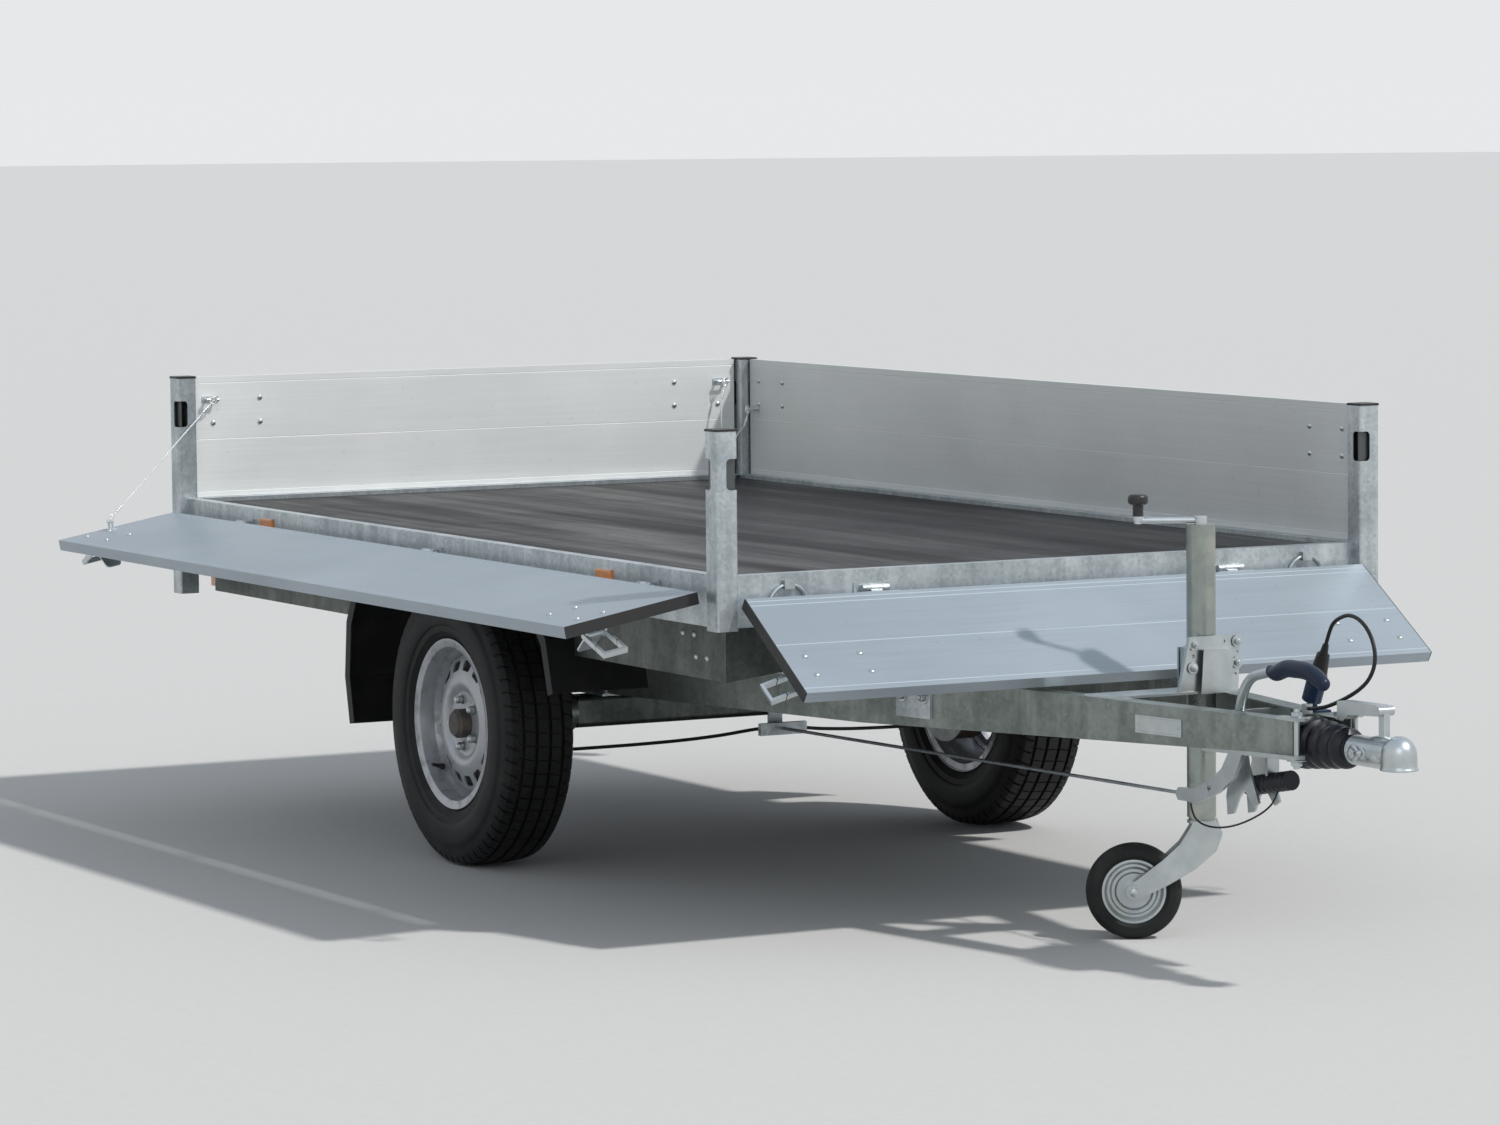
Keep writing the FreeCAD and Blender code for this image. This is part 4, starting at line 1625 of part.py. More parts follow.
for board_name, (length, hinges, heading, centre, opening) in BOARDS.items():
    NODES[board_name + "_board"] = [placed_board(board_panel(length), board_name)]
    fittings = board_fittings(length, hinges, STAPLES.get(board_name, ()), opening == 0.0)
    NODES[board_name + "_board_fittings"] = [placed_board(s, board_name) for s in fittings]

for node_name, node_solids in NODES.items():
    write(node_name, node_solids)
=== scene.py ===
# %% [markdown]
# A flatbed utility trailer with four drop boards stands parked on its wheels and its jockey wheel. Its frame
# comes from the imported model. This lesson gives each surface its finish and adds what a maker would see up
# close: tread, bolts, rivets, twisted wire and cords. Joints and boxes of the frame say where things go.

# %% Load the frame
import json
import math

import bmesh
import bpy
from mathutils import Matrix, Vector


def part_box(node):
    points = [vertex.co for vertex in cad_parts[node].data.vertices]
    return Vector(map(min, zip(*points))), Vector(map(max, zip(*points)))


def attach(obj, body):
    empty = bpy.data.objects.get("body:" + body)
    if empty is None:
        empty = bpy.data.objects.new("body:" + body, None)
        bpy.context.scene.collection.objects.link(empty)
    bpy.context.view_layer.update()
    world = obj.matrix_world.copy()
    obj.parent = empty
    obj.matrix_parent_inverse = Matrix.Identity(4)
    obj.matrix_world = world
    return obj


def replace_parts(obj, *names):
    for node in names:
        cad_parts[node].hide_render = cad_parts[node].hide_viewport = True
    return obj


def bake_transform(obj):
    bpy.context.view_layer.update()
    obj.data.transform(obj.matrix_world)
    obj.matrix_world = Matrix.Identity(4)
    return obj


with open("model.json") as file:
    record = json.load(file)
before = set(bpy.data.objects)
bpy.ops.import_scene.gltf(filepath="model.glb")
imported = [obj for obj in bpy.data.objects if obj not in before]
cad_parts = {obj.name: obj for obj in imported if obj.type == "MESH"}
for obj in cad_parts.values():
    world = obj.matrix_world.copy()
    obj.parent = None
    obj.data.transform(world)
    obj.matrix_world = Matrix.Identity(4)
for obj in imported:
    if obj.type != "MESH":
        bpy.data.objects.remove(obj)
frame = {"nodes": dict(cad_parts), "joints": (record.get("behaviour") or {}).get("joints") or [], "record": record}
nodes = frame["nodes"]
joints = {joint["name"]: joint for joint in frame["joints"]}
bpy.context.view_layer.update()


def middle_of(name):
    """The middle of a node's box."""
    low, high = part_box(name)
    return (low + high) / 2


# %% [markdown]
# The photograph was taken with a long lens from a point ahead of the trailer and to its right, about 1.7
# metres above the ground. A camera looks along its own -Z, so its turn is built from the three directions of
# its view: forward, right and up, rolled slightly about forward.

# %% The camera
CAMERA_PLACE = Vector((8.983, -6.233, 1.266))
CAMERA_YAW, CAMERA_PITCH, CAMERA_ROLL = (math.radians(a) for a in (151.768, -4.630, -0.558))
LENS_MM = 136.7
SENSOR_MM = 36.0
FAR_LIMIT = 500


def linked(name, data):
    """A new object in the scene that shows this data."""
    shown = bpy.data.objects.new(name, data)
    bpy.context.scene.collection.objects.link(shown)
    return shown


def view_turn(yaw, pitch, roll):
    forward = Vector((math.cos(yaw) * math.cos(pitch), math.sin(yaw) * math.cos(pitch), math.sin(pitch)))
    right = forward.cross(Vector((0, 0, 1))).normalized()
    up = right.cross(forward)
    rolled_right = right * math.cos(roll) + up * math.sin(roll)
    rolled_up = rolled_right.cross(forward)
    return Matrix((rolled_right, rolled_up, -forward)).transposed()


def photo_camera():
    data = bpy.data.cameras.new("photo_camera")
    data.lens = LENS_MM
    data.sensor_width = SENSOR_MM
    data.sensor_fit = "HORIZONTAL"
    data.clip_end = FAR_LIMIT
    camera = linked("photo_camera", data)
    turn = view_turn(CAMERA_YAW, CAMERA_PITCH, CAMERA_ROLL).to_4x4()
    camera.matrix_world = Matrix.Translation(CAMERA_PLACE) @ turn
    bpy.context.scene.camera = camera


photo_camera()
print("camera at", CAMERA_PLACE[:])

# %% [markdown]
# Every finish is a small tree of shader nodes. Written as Python expressions the trees stay short: a Signal
# is one socket, its arithmetic adds Math nodes, and one node method makes every other node. The world's tree
# is written in the same way, so the method sits in a class that finishes and world share.

# %% Shader signals
class Signal:
    """One socket of a tree. Sums, products and comparisons of signals add Math nodes."""

    def __init__(self, shading, socket):
        self.shading = shading
        self.socket = socket

    def math(self, operation, first, second=0.0):
        return self.shading.node("ShaderNodeMath", {"operation": operation}, {0: first, 1: second})

    def __add__(self, other):
        return self.math("ADD", self, other)

    __radd__ = __add__

    def __sub__(self, other):
        return self.math("SUBTRACT", self, other)

    def __rsub__(self, other):
        return self.math("SUBTRACT", other, self)

    def __mul__(self, other):
        return self.math("MULTIPLY", self, other)

    __rmul__ = __mul__

    def __gt__(self, other):
        return self.math("GREATER_THAN", self, other)

    def __abs__(self):
        return self.math("ABSOLUTE", self)

    def root(self):
        return self.math("SQRT", self)

    def or_more(self, other):
        return self.math("MAXIMUM", self, other)


class Shading:
    """The shader nodes of a material or of the world."""

    def __init__(self, tree):
        self.tree = tree

    def node(self, kind, settings=None, inputs=None, output=0):
        made = self.tree.nodes.new(kind)
        for name, value in (settings or {}).items():
            if name == "stops":
                for element, (place, colour) in zip(made.color_ramp.elements, value):
                    element.position = place
                    element.color = (*colour, 1)
            else:
                setattr(made, name, value)
        for key, value in (inputs or {}).items():
            if isinstance(value, Signal):
                self.tree.links.new(value.socket, made.inputs[key])
            else:
                made.inputs[key].default_value = value
        return Signal(self, made.outputs[output])


# %% [markdown]
# A finish adds the few methods that this trailer needs: noise, cells, a coordinate, a soft band between two
# values, a mix of colours and a bump. The patterns read Object coordinates, which stay with the piece.

# %% Finishes
class Finish(Shading):
    """A material whose one shader is fed by expressions."""

    def __init__(self, name):
        self.material = bpy.data.materials.new(name)
        self.material.use_nodes = True
        super().__init__(self.material.node_tree)
        self.shader = self.tree.nodes["Principled BSDF"]

    def place(self, stretch=(1, 1, 1)):
        spot = self.node("ShaderNodeTexCoord", output="Object")
        return self.node("ShaderNodeMapping", {}, {"Vector": spot, "Scale": stretch})

    def noise(self, scale, stretch=(1, 1, 1), detail=3.0, roughness=0.55):
        inputs = {"Vector": self.place(stretch), "Scale": scale, "Detail": detail, "Roughness": roughness}
        return self.node("ShaderNodeTexNoise", {}, inputs)

    def cells(self, scale, output="Color"):
        return self.node("ShaderNodeTexVoronoi", {}, {"Vector": self.place(), "Scale": scale}, output)

    def axis(self, name):
        spot = self.node("ShaderNodeTexCoord", output="Object")
        return self.node("ShaderNodeSeparateXYZ", {}, {0: spot}, name)

    def band(self, value, low, high):
        return self.node("ShaderNodeMapRange", {"interpolation_type": "SMOOTHSTEP"},
                         {"Value": value, "From Min": low, "From Max": high})

    def mix(self, factor, first, second):
        ends = [c if isinstance(c, Signal) else (*c, 1) for c in (first, second)]
        return self.node("ShaderNodeMix", {"data_type": "RGBA"}, {0: factor, 6: ends[0], 7: ends[1]}, 2)

    def bump(self, height, distance, strength=1.0):
        return self.node("ShaderNodeBump", {}, {"Height": height, "Distance": distance, "Strength": strength})

    def set(self, **sockets):
        for name, value in sockets.items():
            socket = self.shader.inputs[name.replace("_", " ")]
            if isinstance(value, Signal):
                self.tree.links.new(value.socket, socket)
            else:
                socket.default_value = value
        return self


# %% [markdown]
# Hot-dip galvanised steel is a coat of zinc that froze in patches: pale spangles, darker clouds and thin runs
# where the zinc drained down. Voronoi cells give the spangles and stretched noise the runs, while the
# roughness follows the same clouds so that the patches also shine differently.

# %% Galvanised steel
def galvanised(name="galvanised_steel", dark=(0.33, 0.37, 0.39), pale=(0.62, 0.67, 0.69), spangle=130.0):
    finish = Finish(name)
    clouds = finish.noise(7.0, detail=6.0, roughness=0.62)
    runs = finish.noise(34.0, (1, 1, 0.10), detail=2.0)
    grains = finish.node("ShaderNodeSeparateColor", {}, {0: finish.cells(spangle)})
    tone = finish.band(clouds * 0.62 + runs * 0.28 + grains * 0.10, 0.32, 0.70)
    bright = finish.band(finish.noise(11.0, (1, 1, 0.25), 3.0), 0.60, 0.70) * 0.45
    colour = finish.mix(bright, finish.mix(tone, dark, pale), tuple(min(1.3 * c, 0.82) for c in pale))
    return finish.set(Base_Color=colour, Metallic=0.78, Roughness=0.42 - tone * 0.16 + grains * 0.06,
                      Normal=finish.bump(runs * 0.7 + grains * 0.3, 0.0005, 0.35))


# Painted shade: galvanised steel with its greys darkened as if it lay in shade, for the axle_zinc slot, the
# drawbar arms and the cross members.
def shade_darkened_galvanised():
    return galvanised("shade_darkened_galvanised_steel", (0.17, 0.195, 0.18), (0.30, 0.335, 0.315), 110.0)


# Painted shade: the darkest galvanised greys, for the deep panels, beams and axle tube that lie in shade under the
# floor.
def shaded_panel():
    return galvanised("shaded_panel", (0.052, 0.062, 0.057), (0.115, 0.13, 0.12), 110.0)


# %% [markdown]
# The boards are extruded aluminium, anodised to a soft silver grey. Along the long grooves of the extrusion the
# finish paints pale lines, a painted highlight where the grooves catch the light. A board's own frame, which
# starts at its hinge pin, tells where they are, however far the board has been let down.

# %% The boards' own frames
BOARD_HALF = 0.0125
PIN_BELOW_BOARD = 0.028
BOARD_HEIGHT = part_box("rear_board")[1].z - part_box("rear_board")[0].z
BOARD_OUTWARD = {"right": (0, -1, 0), "left": (0, 1, 0), "front": (1, 0, 0), "rear": (-1, 0, 0)}
BOARD_OPENING = {"right": 100.4, "left": 0.0, "front": 123.5, "rear": 0.0}
PIN_OF = {side: Vector(joints[side + "_board_hinge"]["pos_m"]) for side in BOARD_OUTWARD}


def board_frame(side):
    """Outward and upward directions of a board as it stands, and its run, all from its pin."""
    out, opening = Vector(BOARD_OUTWARD[side]), math.radians(BOARD_OPENING[side])
    rise = out * math.sin(opening) + Vector((0, 0, 1)) * math.cos(opening)
    face = out * math.cos(opening) - Vector((0, 0, 1)) * math.sin(opening)
    return face, rise, Vector((0, 0, 1)).cross(out) * -1


print("board height", round(BOARD_HEIGHT, 4), "pins", {side: tuple(pin) for side, pin in PIN_OF.items()})

# %% [markdown]
# Extrusion leaves very fine lines along the board, so the finish squeezes its noise across the length and draws it
# out along it. It mixes two greys by that noise, adds a few darker specks and paints a pale highlight along each
# groove.

# %% Anodised boards
GROOVE_SHARES = (0.035, 0.08, 0.5, 0.95)
GROOVE_EDGE = (0.0008, 0.0019)


def groove_highlights(finish, side):
    rise, pin = board_frame(side)[1], PIN_OF[side]
    height = finish.axis("X") * rise.x + finish.axis("Y") * rise.y + finish.axis("Z") * rise.z
    from_pin = height - rise.dot(pin)
    places = [PIN_BELOW_BOARD + share * BOARD_HEIGHT for share in GROOVE_SHARES]
    return sum(1 - finish.band(abs(from_pin - place), *GROOVE_EDGE) for place in places)


def anodised(side, stretch, dark, pale, shine):
    finish = Finish(side + "_anodised")
    lines = finish.noise(240.0, stretch, 2.0)
    patches = finish.noise(2.4, detail=3.0)
    tone = finish.band(patches * 0.7 + lines * 0.3, 0.3, 0.72)
    specks = finish.band(finish.noise(75.0, detail=1.0), 0.70, 0.76) * 0.25
    colour = finish.mix(specks, finish.mix(tone, dark, pale), tuple(0.7 * c for c in dark))
    # Painted highlight: pale lines along the extrusion's grooves.
    colour = finish.mix(groove_highlights(finish, side) * 0.7, colour, tuple(min(1.5 * c, 0.88) for c in pale))
    return finish.set(Base_Color=colour, Metallic=shine, Roughness=0.36 + lines * 0.14,
                      Normal=finish.bump(lines, 0.0002, 0.25))


# %% [markdown]
# The floor is plywood faced with a dark phenolic film. It is nearly black-brown, and the sky shows in it as
# long soft streaks because the film is smoother in some stripes than in others.

# %% Filmed plywood
def filmed_plywood():
    finish = Finish("filmed_plywood")
    streaks = finish.noise(2.6, (0.22, 3.0, 1), 5.0, 0.6)
    scuffs = finish.noise(34.0, (0.25, 2.0, 1), 3.0)
    dust = finish.band(finish.noise(1.6, detail=6.0, roughness=0.7), 0.46, 0.74)
    colour = finish.mix(finish.band(streaks, 0.35, 0.7), (0.0085, 0.0065, 0.007), (0.0165, 0.0143, 0.0158))
    colour = finish.mix(dust * 0.08, colour, (0.10, 0.092, 0.092))
    glaze = finish.band(streaks, 0.30, 0.72)
    return finish.set(Base_Color=colour, Roughness=0.26 + glaze * 0.26 + dust * 0.10, Specular_IOR_Level=0.07,
                      Normal=finish.bump(scuffs * 0.6 + finish.noise(420.0) * 0.4, 0.0006, 0.3))


# %% [markdown]
# The corner posts are galvanised too. Inside a latch notch no light falls and grime has settled, so the finish
# paints the zinc there darker, partly painted shade and partly grime: it finds the spot by its depth under the
# post's faces, at the notch's height.

# %% Corner posts
POST_SIZE = 0.050
NOTCH_Z = (0.472, 0.543)
NOTCH_SKIN = 0.0014


def inside_post(finish):
    low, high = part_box("corner_posts")
    deep = POST_SIZE / 2 - NOTCH_SKIN
    from_middle_x = abs(finish.axis("X") - (low.x + high.x) / 2)
    off_x = abs(from_middle_x - ((high.x - low.x) - POST_SIZE) / 2)
    off_y = abs(abs(finish.axis("Y")) - (high.y - POST_SIZE / 2))
    beside_notch = (finish.axis("Z") > NOTCH_Z[0]) * (1 - (finish.axis("Z") > NOTCH_Z[1]))
    return (1 - (off_x > deep)) * (1 - (off_y > deep)) * beside_notch


def post_galvanised():
    finish = galvanised("post_galvanised")
    plain = Signal(finish, finish.shader.inputs["Base Color"].links[0].from_socket)
    # Painted shade and grime: the inside of each notch is painted a dark grey.
    return finish.set(Base_Color=finish.mix(inside_post(finish), plain, (0.11, 0.12, 0.12)))


# %% [markdown]
# Small steel parts are electroplated with zinc. The plating is bright and slightly blue, with faint warm
# patches from the passivating bath and fine handling marks that break up its shine. The corner cables are
# paler drawn wire and the jockey wheel's tubes a greyer plating, so the function takes its greys.

# %% Zinc plating
def zinc_plating(name="zinc_plating", dark=(0.38, 0.415, 0.42), pale=(0.64, 0.685, 0.70), rough=0.20):
    finish = Finish(name)
    clouds = finish.noise(24.0, detail=4.0)
    warm = finish.band(finish.noise(14.0, detail=2.0), 0.52, 0.72) * 0.3
    marks = finish.noise(260.0, (1, 1, 0.3), 2.0)
    colour = finish.mix(warm, finish.mix(clouds, dark, pale), (0.62, 0.60, 0.50))
    return finish.set(Base_Color=colour, Metallic=0.9, Roughness=rough + clouds * 0.18 + marks * 0.06,
                      Normal=finish.bump(marks, 0.0002, 0.3))


# %% [markdown]
# Plastics and rubbers differ in colour, in how rough they are and in how much pale dust has settled on them.
# One function serves them all, with a fine grain in the bump and most of the dust on faces that look up.

# %% Plastics and rubbers
DUST = (0.30, 0.28, 0.255)


def moulded(name, colour, rough, grain=700.0, dust=0.18, depth=0.00015):
    finish = Finish(name)
    speckle = finish.noise(grain, detail=2.0)
    patches = finish.noise(11.0, detail=5.0, roughness=0.65)
    normal = finish.node("ShaderNodeNewGeometry", output="Normal")
    upward = finish.node("ShaderNodeSeparateXYZ", {}, {0: normal}, "Z")
    settled = finish.band(upward, 0.2, 1.0) * 0.6 + 0.4
    film = finish.band(patches, 0.42, 0.75) * settled * dust
    shade = finish.mix(patches * 0.5, colour, tuple(c * 0.72 for c in colour))
    return finish.set(Base_Color=finish.mix(film, shade, DUST), Metallic=0.0, Specular_IOR_Level=0.32,
                      Roughness=rough + film * 0.5 + speckle * 0.08,
                      Normal=finish.bump(speckle, depth, 0.5))


# %% [markdown]
# The wheels are sprayed silver. The paint is even and satin, dirt lies in the well and round the hub, and the
# distance from the wheel's own axis tells where that is. The drum's iron has rusted, and its greased cap, the
# part that stands out past the wheel's face, has taken on dust.

# %% Wheel paint and drum iron
WHEEL_AXIS = Vector(joints["wheel_left_spin"]["pos_m"])
WHEEL_AXIS.y = 0.0
HUB_FACE_Y = 0.7095


def wheel_silver():
    finish = Finish("wheel_silver")
    x, z = finish.axis("X") - WHEEL_AXIS.x, finish.axis("Z") - WHEEL_AXIS.z
    radius = (x * x + z * z).root()
    dirt = finish.band(finish.noise(30.0, detail=5.0), 0.45, 0.7)
    near_hub = 1 - finish.band(radius, 0.03, 0.10)
    in_well = finish.band(radius, 0.135, 0.16) * 0.35
    mask = dirt * (near_hub * 0.6 + in_well + 0.10)
    colour = finish.mix(mask, (0.47, 0.49, 0.515), (0.16, 0.13, 0.105))
    return finish.set(Base_Color=colour, Metallic=0.45, Roughness=0.33 + mask * 0.4,
                      Normal=finish.bump(finish.noise(340.0), 0.0002, 0.25))


def drum_iron():
    finish = Finish("drum_iron")
    rust = finish.band(finish.noise(38.0, detail=6.0, roughness=0.7), 0.42, 0.68)
    bare = finish.mix(rust, (0.07, 0.065, 0.062), (0.19, 0.11, 0.065))
    capped = finish.mix(rust, (0.10, 0.095, 0.088), (0.20, 0.165, 0.135))
    colour = finish.mix(abs(finish.axis("Y")) > HUB_FACE_Y, bare, capped)
    return finish.set(Base_Color=colour, Metallic=0.35, Roughness=0.62 + rust * 0.2,
                      Normal=finish.bump(finish.noise(300.0, detail=4.0), 0.0006, 0.5))


# %% [markdown]
# Lamp lenses and reflectors are clear-coated coloured plastic with tiny prisms behind the surface. Cells in
# the bump stand for the prisms, and the coat keeps the outside smooth and glossy. A rear lamp is one lens:
# red above, and below it an amber corner outside and a clear one inside.

# %% Lenses and reflectors
LENS_LOW_Z = 0.108
AMBER_FROM_Y, CLEAR_TO_Y = 0.660, 0.540
LENS_SEAM = 0.001


def amber_reflector():
    finish = Finish("amber_reflector")
    prisms = finish.cells(260.0, "Distance")
    colour = finish.mix(prisms * 1.2, (0.55, 0.13, 0.005), (0.90, 0.30, 0.02))
    return finish.set(Base_Color=colour, Roughness=0.22, Coat_Weight=1.0,
                      Normal=finish.bump(prisms, 0.0012, 0.6))


def rear_lamp_lens():
    finish = Finish("rear_lamp_lens")
    prisms = finish.cells(200.0, "Distance")
    from_middle = abs(finish.axis("Y"))
    low = 1 - finish.band(finish.axis("Z"), LENS_LOW_Z, LENS_LOW_Z + LENS_SEAM)
    outer = finish.band(from_middle, AMBER_FROM_Y, AMBER_FROM_Y + LENS_SEAM) * low
    inner = (1 - finish.band(from_middle, CLEAR_TO_Y, CLEAR_TO_Y + LENS_SEAM)) * low
    colour = finish.mix(outer, (0.55, 0.012, 0.012), (0.80, 0.26, 0.02))
    colour = finish.mix(inner, colour, (0.62, 0.62, 0.60))
    return finish.set(Base_Color=colour, Roughness=0.18, Coat_Weight=1.0,
                      Normal=finish.bump(prisms, 0.001, 0.5))


def blank_plate():
    finish = Finish("blank_plate")
    dust = finish.band(finish.noise(9.0, detail=5.0), 0.45, 0.75) * 0.3
    return finish.set(Base_Color=finish.mix(dust, (0.74, 0.74, 0.73), (0.48, 0.46, 0.42)), Roughness=0.4)


# %% [markdown]
# Two nodes are plated steel and black plastic at once. A board's fittings are latches and hinge eyes, and the
# caps that close the board's hollow ends, which are the two millimetres just past the board's own tip. The
# jockey wheel's crank has a knob pressed on its end, told apart by its height.

# %% Board fittings, crank and knob
BLACK = (0.018, 0.018, 0.019)
CAP_START, CAP_END = 0.00002, 0.0021
KNOB_LOW_Z = 0.4105


def fittings_finish(side):
    along = "X" if side in ("right", "left") else "Y"
    low, high = [corner["XYZ".index(along)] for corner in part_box(side + "_board")]
    finish = Finish(side + "_fittings")
    from_middle = abs(finish.axis(along) - (low + high) / 2)
    reach = (high - low) / 2
    cap = (from_middle > reach + CAP_START) * (1 - (from_middle > reach + CAP_END))
    clouds = finish.noise(24.0, detail=4.0)
    plated = finish.mix(clouds, (0.46, 0.50, 0.51), (0.72, 0.76, 0.78))
    return finish.set(Base_Color=finish.mix(cap, plated, BLACK), Metallic=0.9 - cap * 0.9,
                      Roughness=0.28 + clouds * 0.16 + cap * 0.18,
                      Normal=finish.bump(finish.noise(260.0, (1, 1, 0.3), 2.0), 0.0002, 0.3))


def knob_and_crank():
    finish = Finish("crank_and_knob")
    knob = finish.axis("Z") > KNOB_LOW_Z
    clouds = finish.noise(30.0, detail=4.0)
    plated = finish.mix(clouds, (0.46, 0.49, 0.50), (0.68, 0.71, 0.73))
    return finish.set(Base_Color=finish.mix(knob, plated, (0.020, 0.021, 0.021)), Metallic=0.9 - knob * 0.9,
                      Roughness=0.30 + clouds * 0.14 + knob * 0.05,
                      Normal=finish.bump(finish.noise(500.0), 0.0002, 0.3))


# %% [markdown]
# The frame names a slot for every node: the kind of surface that it has. One table gives each slot its
# finish, and the pieces that are modelled below take theirs from it too.

# %% Finishes by slot
FINISHES = {
    "galvanised": galvanised(),
    "axle_zinc": shade_darkened_galvanised(),
    "plywood": filmed_plywood(),
    "zinc": zinc_plating(),
    "wire": zinc_plating("bright_wire", (0.66, 0.68, 0.68), (0.86, 0.87, 0.87), 0.34),
    "black_plastic": moulded("black_plastic", BLACK, 0.38),
    "guard_plastic": moulded("mudguard_plastic", (0.010, 0.010, 0.011), 0.48, 320.0, 0.10, 0.0004),
    "rubber": moulded("bellows_rubber", (0.012, 0.0135, 0.020), 0.30, 500.0, 0.08),
    "blue_grip": moulded("blue_grip", (0.0045, 0.0155, 0.042), 0.34, 600.0, 0.04, 0.0002),
    "blue_plastic": moulded("blue_plastic", (0.007, 0.026, 0.074), 0.32, 600.0, 0.04),
    "cable_rubber": moulded("cable_rubber", (0.014, 0.014, 0.015), 0.36, 800.0, 0.08),
    "jockey_rubber": moulded("jockey_rubber", (0.011, 0.012, 0.012), 0.60, 420.0, 0.10, 0.0004),
    "tyre": moulded("tyre_rubber", (0.0085, 0.0088, 0.0095), 0.56, 380.0, 0.12, 0.0004),
    "wheel_silver": wheel_silver(),
    "drum_iron": drum_iron(),
    "lamp_red": rear_lamp_lens(),
    "plate_white": blank_plate(),
    "amber": amber_reflector(),
}
print("slots", len(FINISHES))

# %% [markdown]
# A shorter table lists the nodes whose finish depends on their own place or wear: posts, boards, fittings, the
# crank, the jockey wheel's tubes, and the steel that lies in shade under the floor, painted darker as painted
# shade. The boards' tones are painted light: the lowered boards are painted the sky's grey as a painted
# reflection, and the standing ones are painted paler as if lit.

# %% Give every node its finish
BESIDE_LENGTH, BESIDE_WIDTH = (0.012, 1, 1), (1, 0.012, 1)
# Painted light: the boards are one anodised aluminium, given a painted sky reflection when lowered, paler tones
# when standing and the palest on the rear board, as if sunlit.
OPEN_PAINTED_SKY_TONES = (0.335, 0.385, 0.425), (0.395, 0.45, 0.495), 0.55
CLOSED_PAINTED_LIGHT_TONES = (0.66, 0.68, 0.675), (0.76, 0.78, 0.775), 0.30
REAR_PAINTED_SUN_TONES = (0.82, 0.84, 0.835), (0.92, 0.935, 0.93), 0.30
BOARD_PAINTED_LIGHT_TONES = {"right": (BESIDE_LENGTH, *OPEN_PAINTED_SKY_TONES), "left": (BESIDE_LENGTH, *CLOSED_PAINTED_LIGHT_TONES),
               "front": (BESIDE_WIDTH, *OPEN_PAINTED_SKY_TONES), "rear": (BESIDE_WIDTH, *REAR_PAINTED_SUN_TONES)}
NODE_FINISHES = {"jockey_crank": knob_and_crank(), "corner_posts": post_galvanised()}
PLATED_TUBE = zinc_plating("plated_tube", (0.24, 0.27, 0.25), (0.41, 0.45, 0.42), 0.17)
for finish, names in ((PLATED_TUBE, ("jockey_tube", "jockey_leg")),
                      (FINISHES["axle_zinc"], ("drawbar_arms", "cross_members")),
                      (shaded_panel(), ("side_panels", "deep_beams", "axle_tube"))):
    NODE_FINISHES.update((name, finish) for name in names)
for side, tones in BOARD_PAINTED_LIGHT_TONES.items():
    NODE_FINISHES[side + "_board"] = anodised(side, *tones)
    NODE_FINISHES[side + "_board_fittings"] = fittings_finish(side)


def dress(piece, finish):
    piece.data.materials.clear()
    piece.data.materials.append(finish.material)


slot_of = {part["node"]: part["material_slot"] for part in frame["record"]["subparts"]}
for name, node in nodes.items():
    dress(node, NODE_FINISHES.get(name) or FINISHES[slot_of[name]])
print("finishes", len(bpy.data.materials))

# %% [markdown]
# Modelling starts from a primitive each time. These helpers keep the selection clean, choose edges or faces
# by a test, put the finished object's place into its mesh, and hand the piece to its body and its finish.

# %% Modelling helpers
def deselect():
    if bpy.context.object and bpy.context.object.mode != "OBJECT":
        bpy.ops.object.mode_set(mode="OBJECT")
    bpy.ops.object.select_all(action="DESELECT")


def pick(piece):
    deselect()
    piece.select_set(True)
    bpy.context.view_layer.objects.active = piece


def primitive(kind, **settings):
    deselect()
    getattr(bpy.ops.mesh, "primitive_" + kind + "_add")(**settings)
    return bpy.context.object


def settle(piece):
    """The object at the origin, unturned, with its place in its mesh."""
    pick(piece)
    bpy.ops.object.transform_apply(location=True, rotation=True, scale=True)
    return piece


def hand_over(piece, name, body, slot, smooth=40.0):
    piece.name = piece.data.name = name
    settle(piece)
    bpy.ops.object.shade_smooth_by_angle(angle=math.radians(smooth))
    dress(piece, FINISHES[slot])
    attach(piece, body)
    return piece


def edit(piece):
    pick(piece)
    bpy.ops.object.mode_set(mode="EDIT")
    return bmesh.from_edit_mesh(piece.data)


def choose(piece, kind, test):
    """Selects, in edit mode, the edges or faces that pass the test."""
    bpy.ops.mesh.select_all(action="DESELECT")
    bpy.ops.mesh.select_mode(type=kind)
    mesh = bmesh.from_edit_mesh(piece.data)
    for element in mesh.faces if kind == "FACE" else mesh.edges:
        element.select_set(test(element))
    bmesh.update_edit_mesh(piece.data)


def leave_edit():
    bpy.ops.mesh.select_mode(type="VERT")
    bpy.ops.object.mode_set(mode="OBJECT")


def turn_outward():
    """Turns the chosen faces outwards and leaves edit mode."""
    bpy.ops.mesh.normals_make_consistent(inside=False)
    leave_edit()


def apply_modifier(piece, kind, **settings):
    pick(piece)
    modifier = piece.modifiers.new(kind.lower(), kind)
    for name, value in settings.items():
        setattr(modifier, name, value)
    bpy.ops.object.modifier_apply(modifier=modifier.name)
    return piece


def join(pieces):
    pick(pieces[0])
    for piece in pieces:
        piece.select_set(True)
    bpy.ops.object.join()
    return pieces[0]


def frame_along(axis):
    """A turn whose Z runs along the axis."""
    return Vector(axis).to_track_quat("Z", "Y").to_matrix().to_4x4()


def put(piece, place, axis=(0, 0, 1)):
    piece.matrix_world = Matrix.Translation(Vector(place)) @ frame_along(axis)
    return settle(piece)


# %% [markdown]
# A lathe part is drawn as a ring of points in the plane of its axis and spun once round. The ring starts as a
# circle primitive whose vertices are moved onto the outline, and the last copy of the spin is merged with the
# first. A sheet is spun from an open outline and gets its wall later.

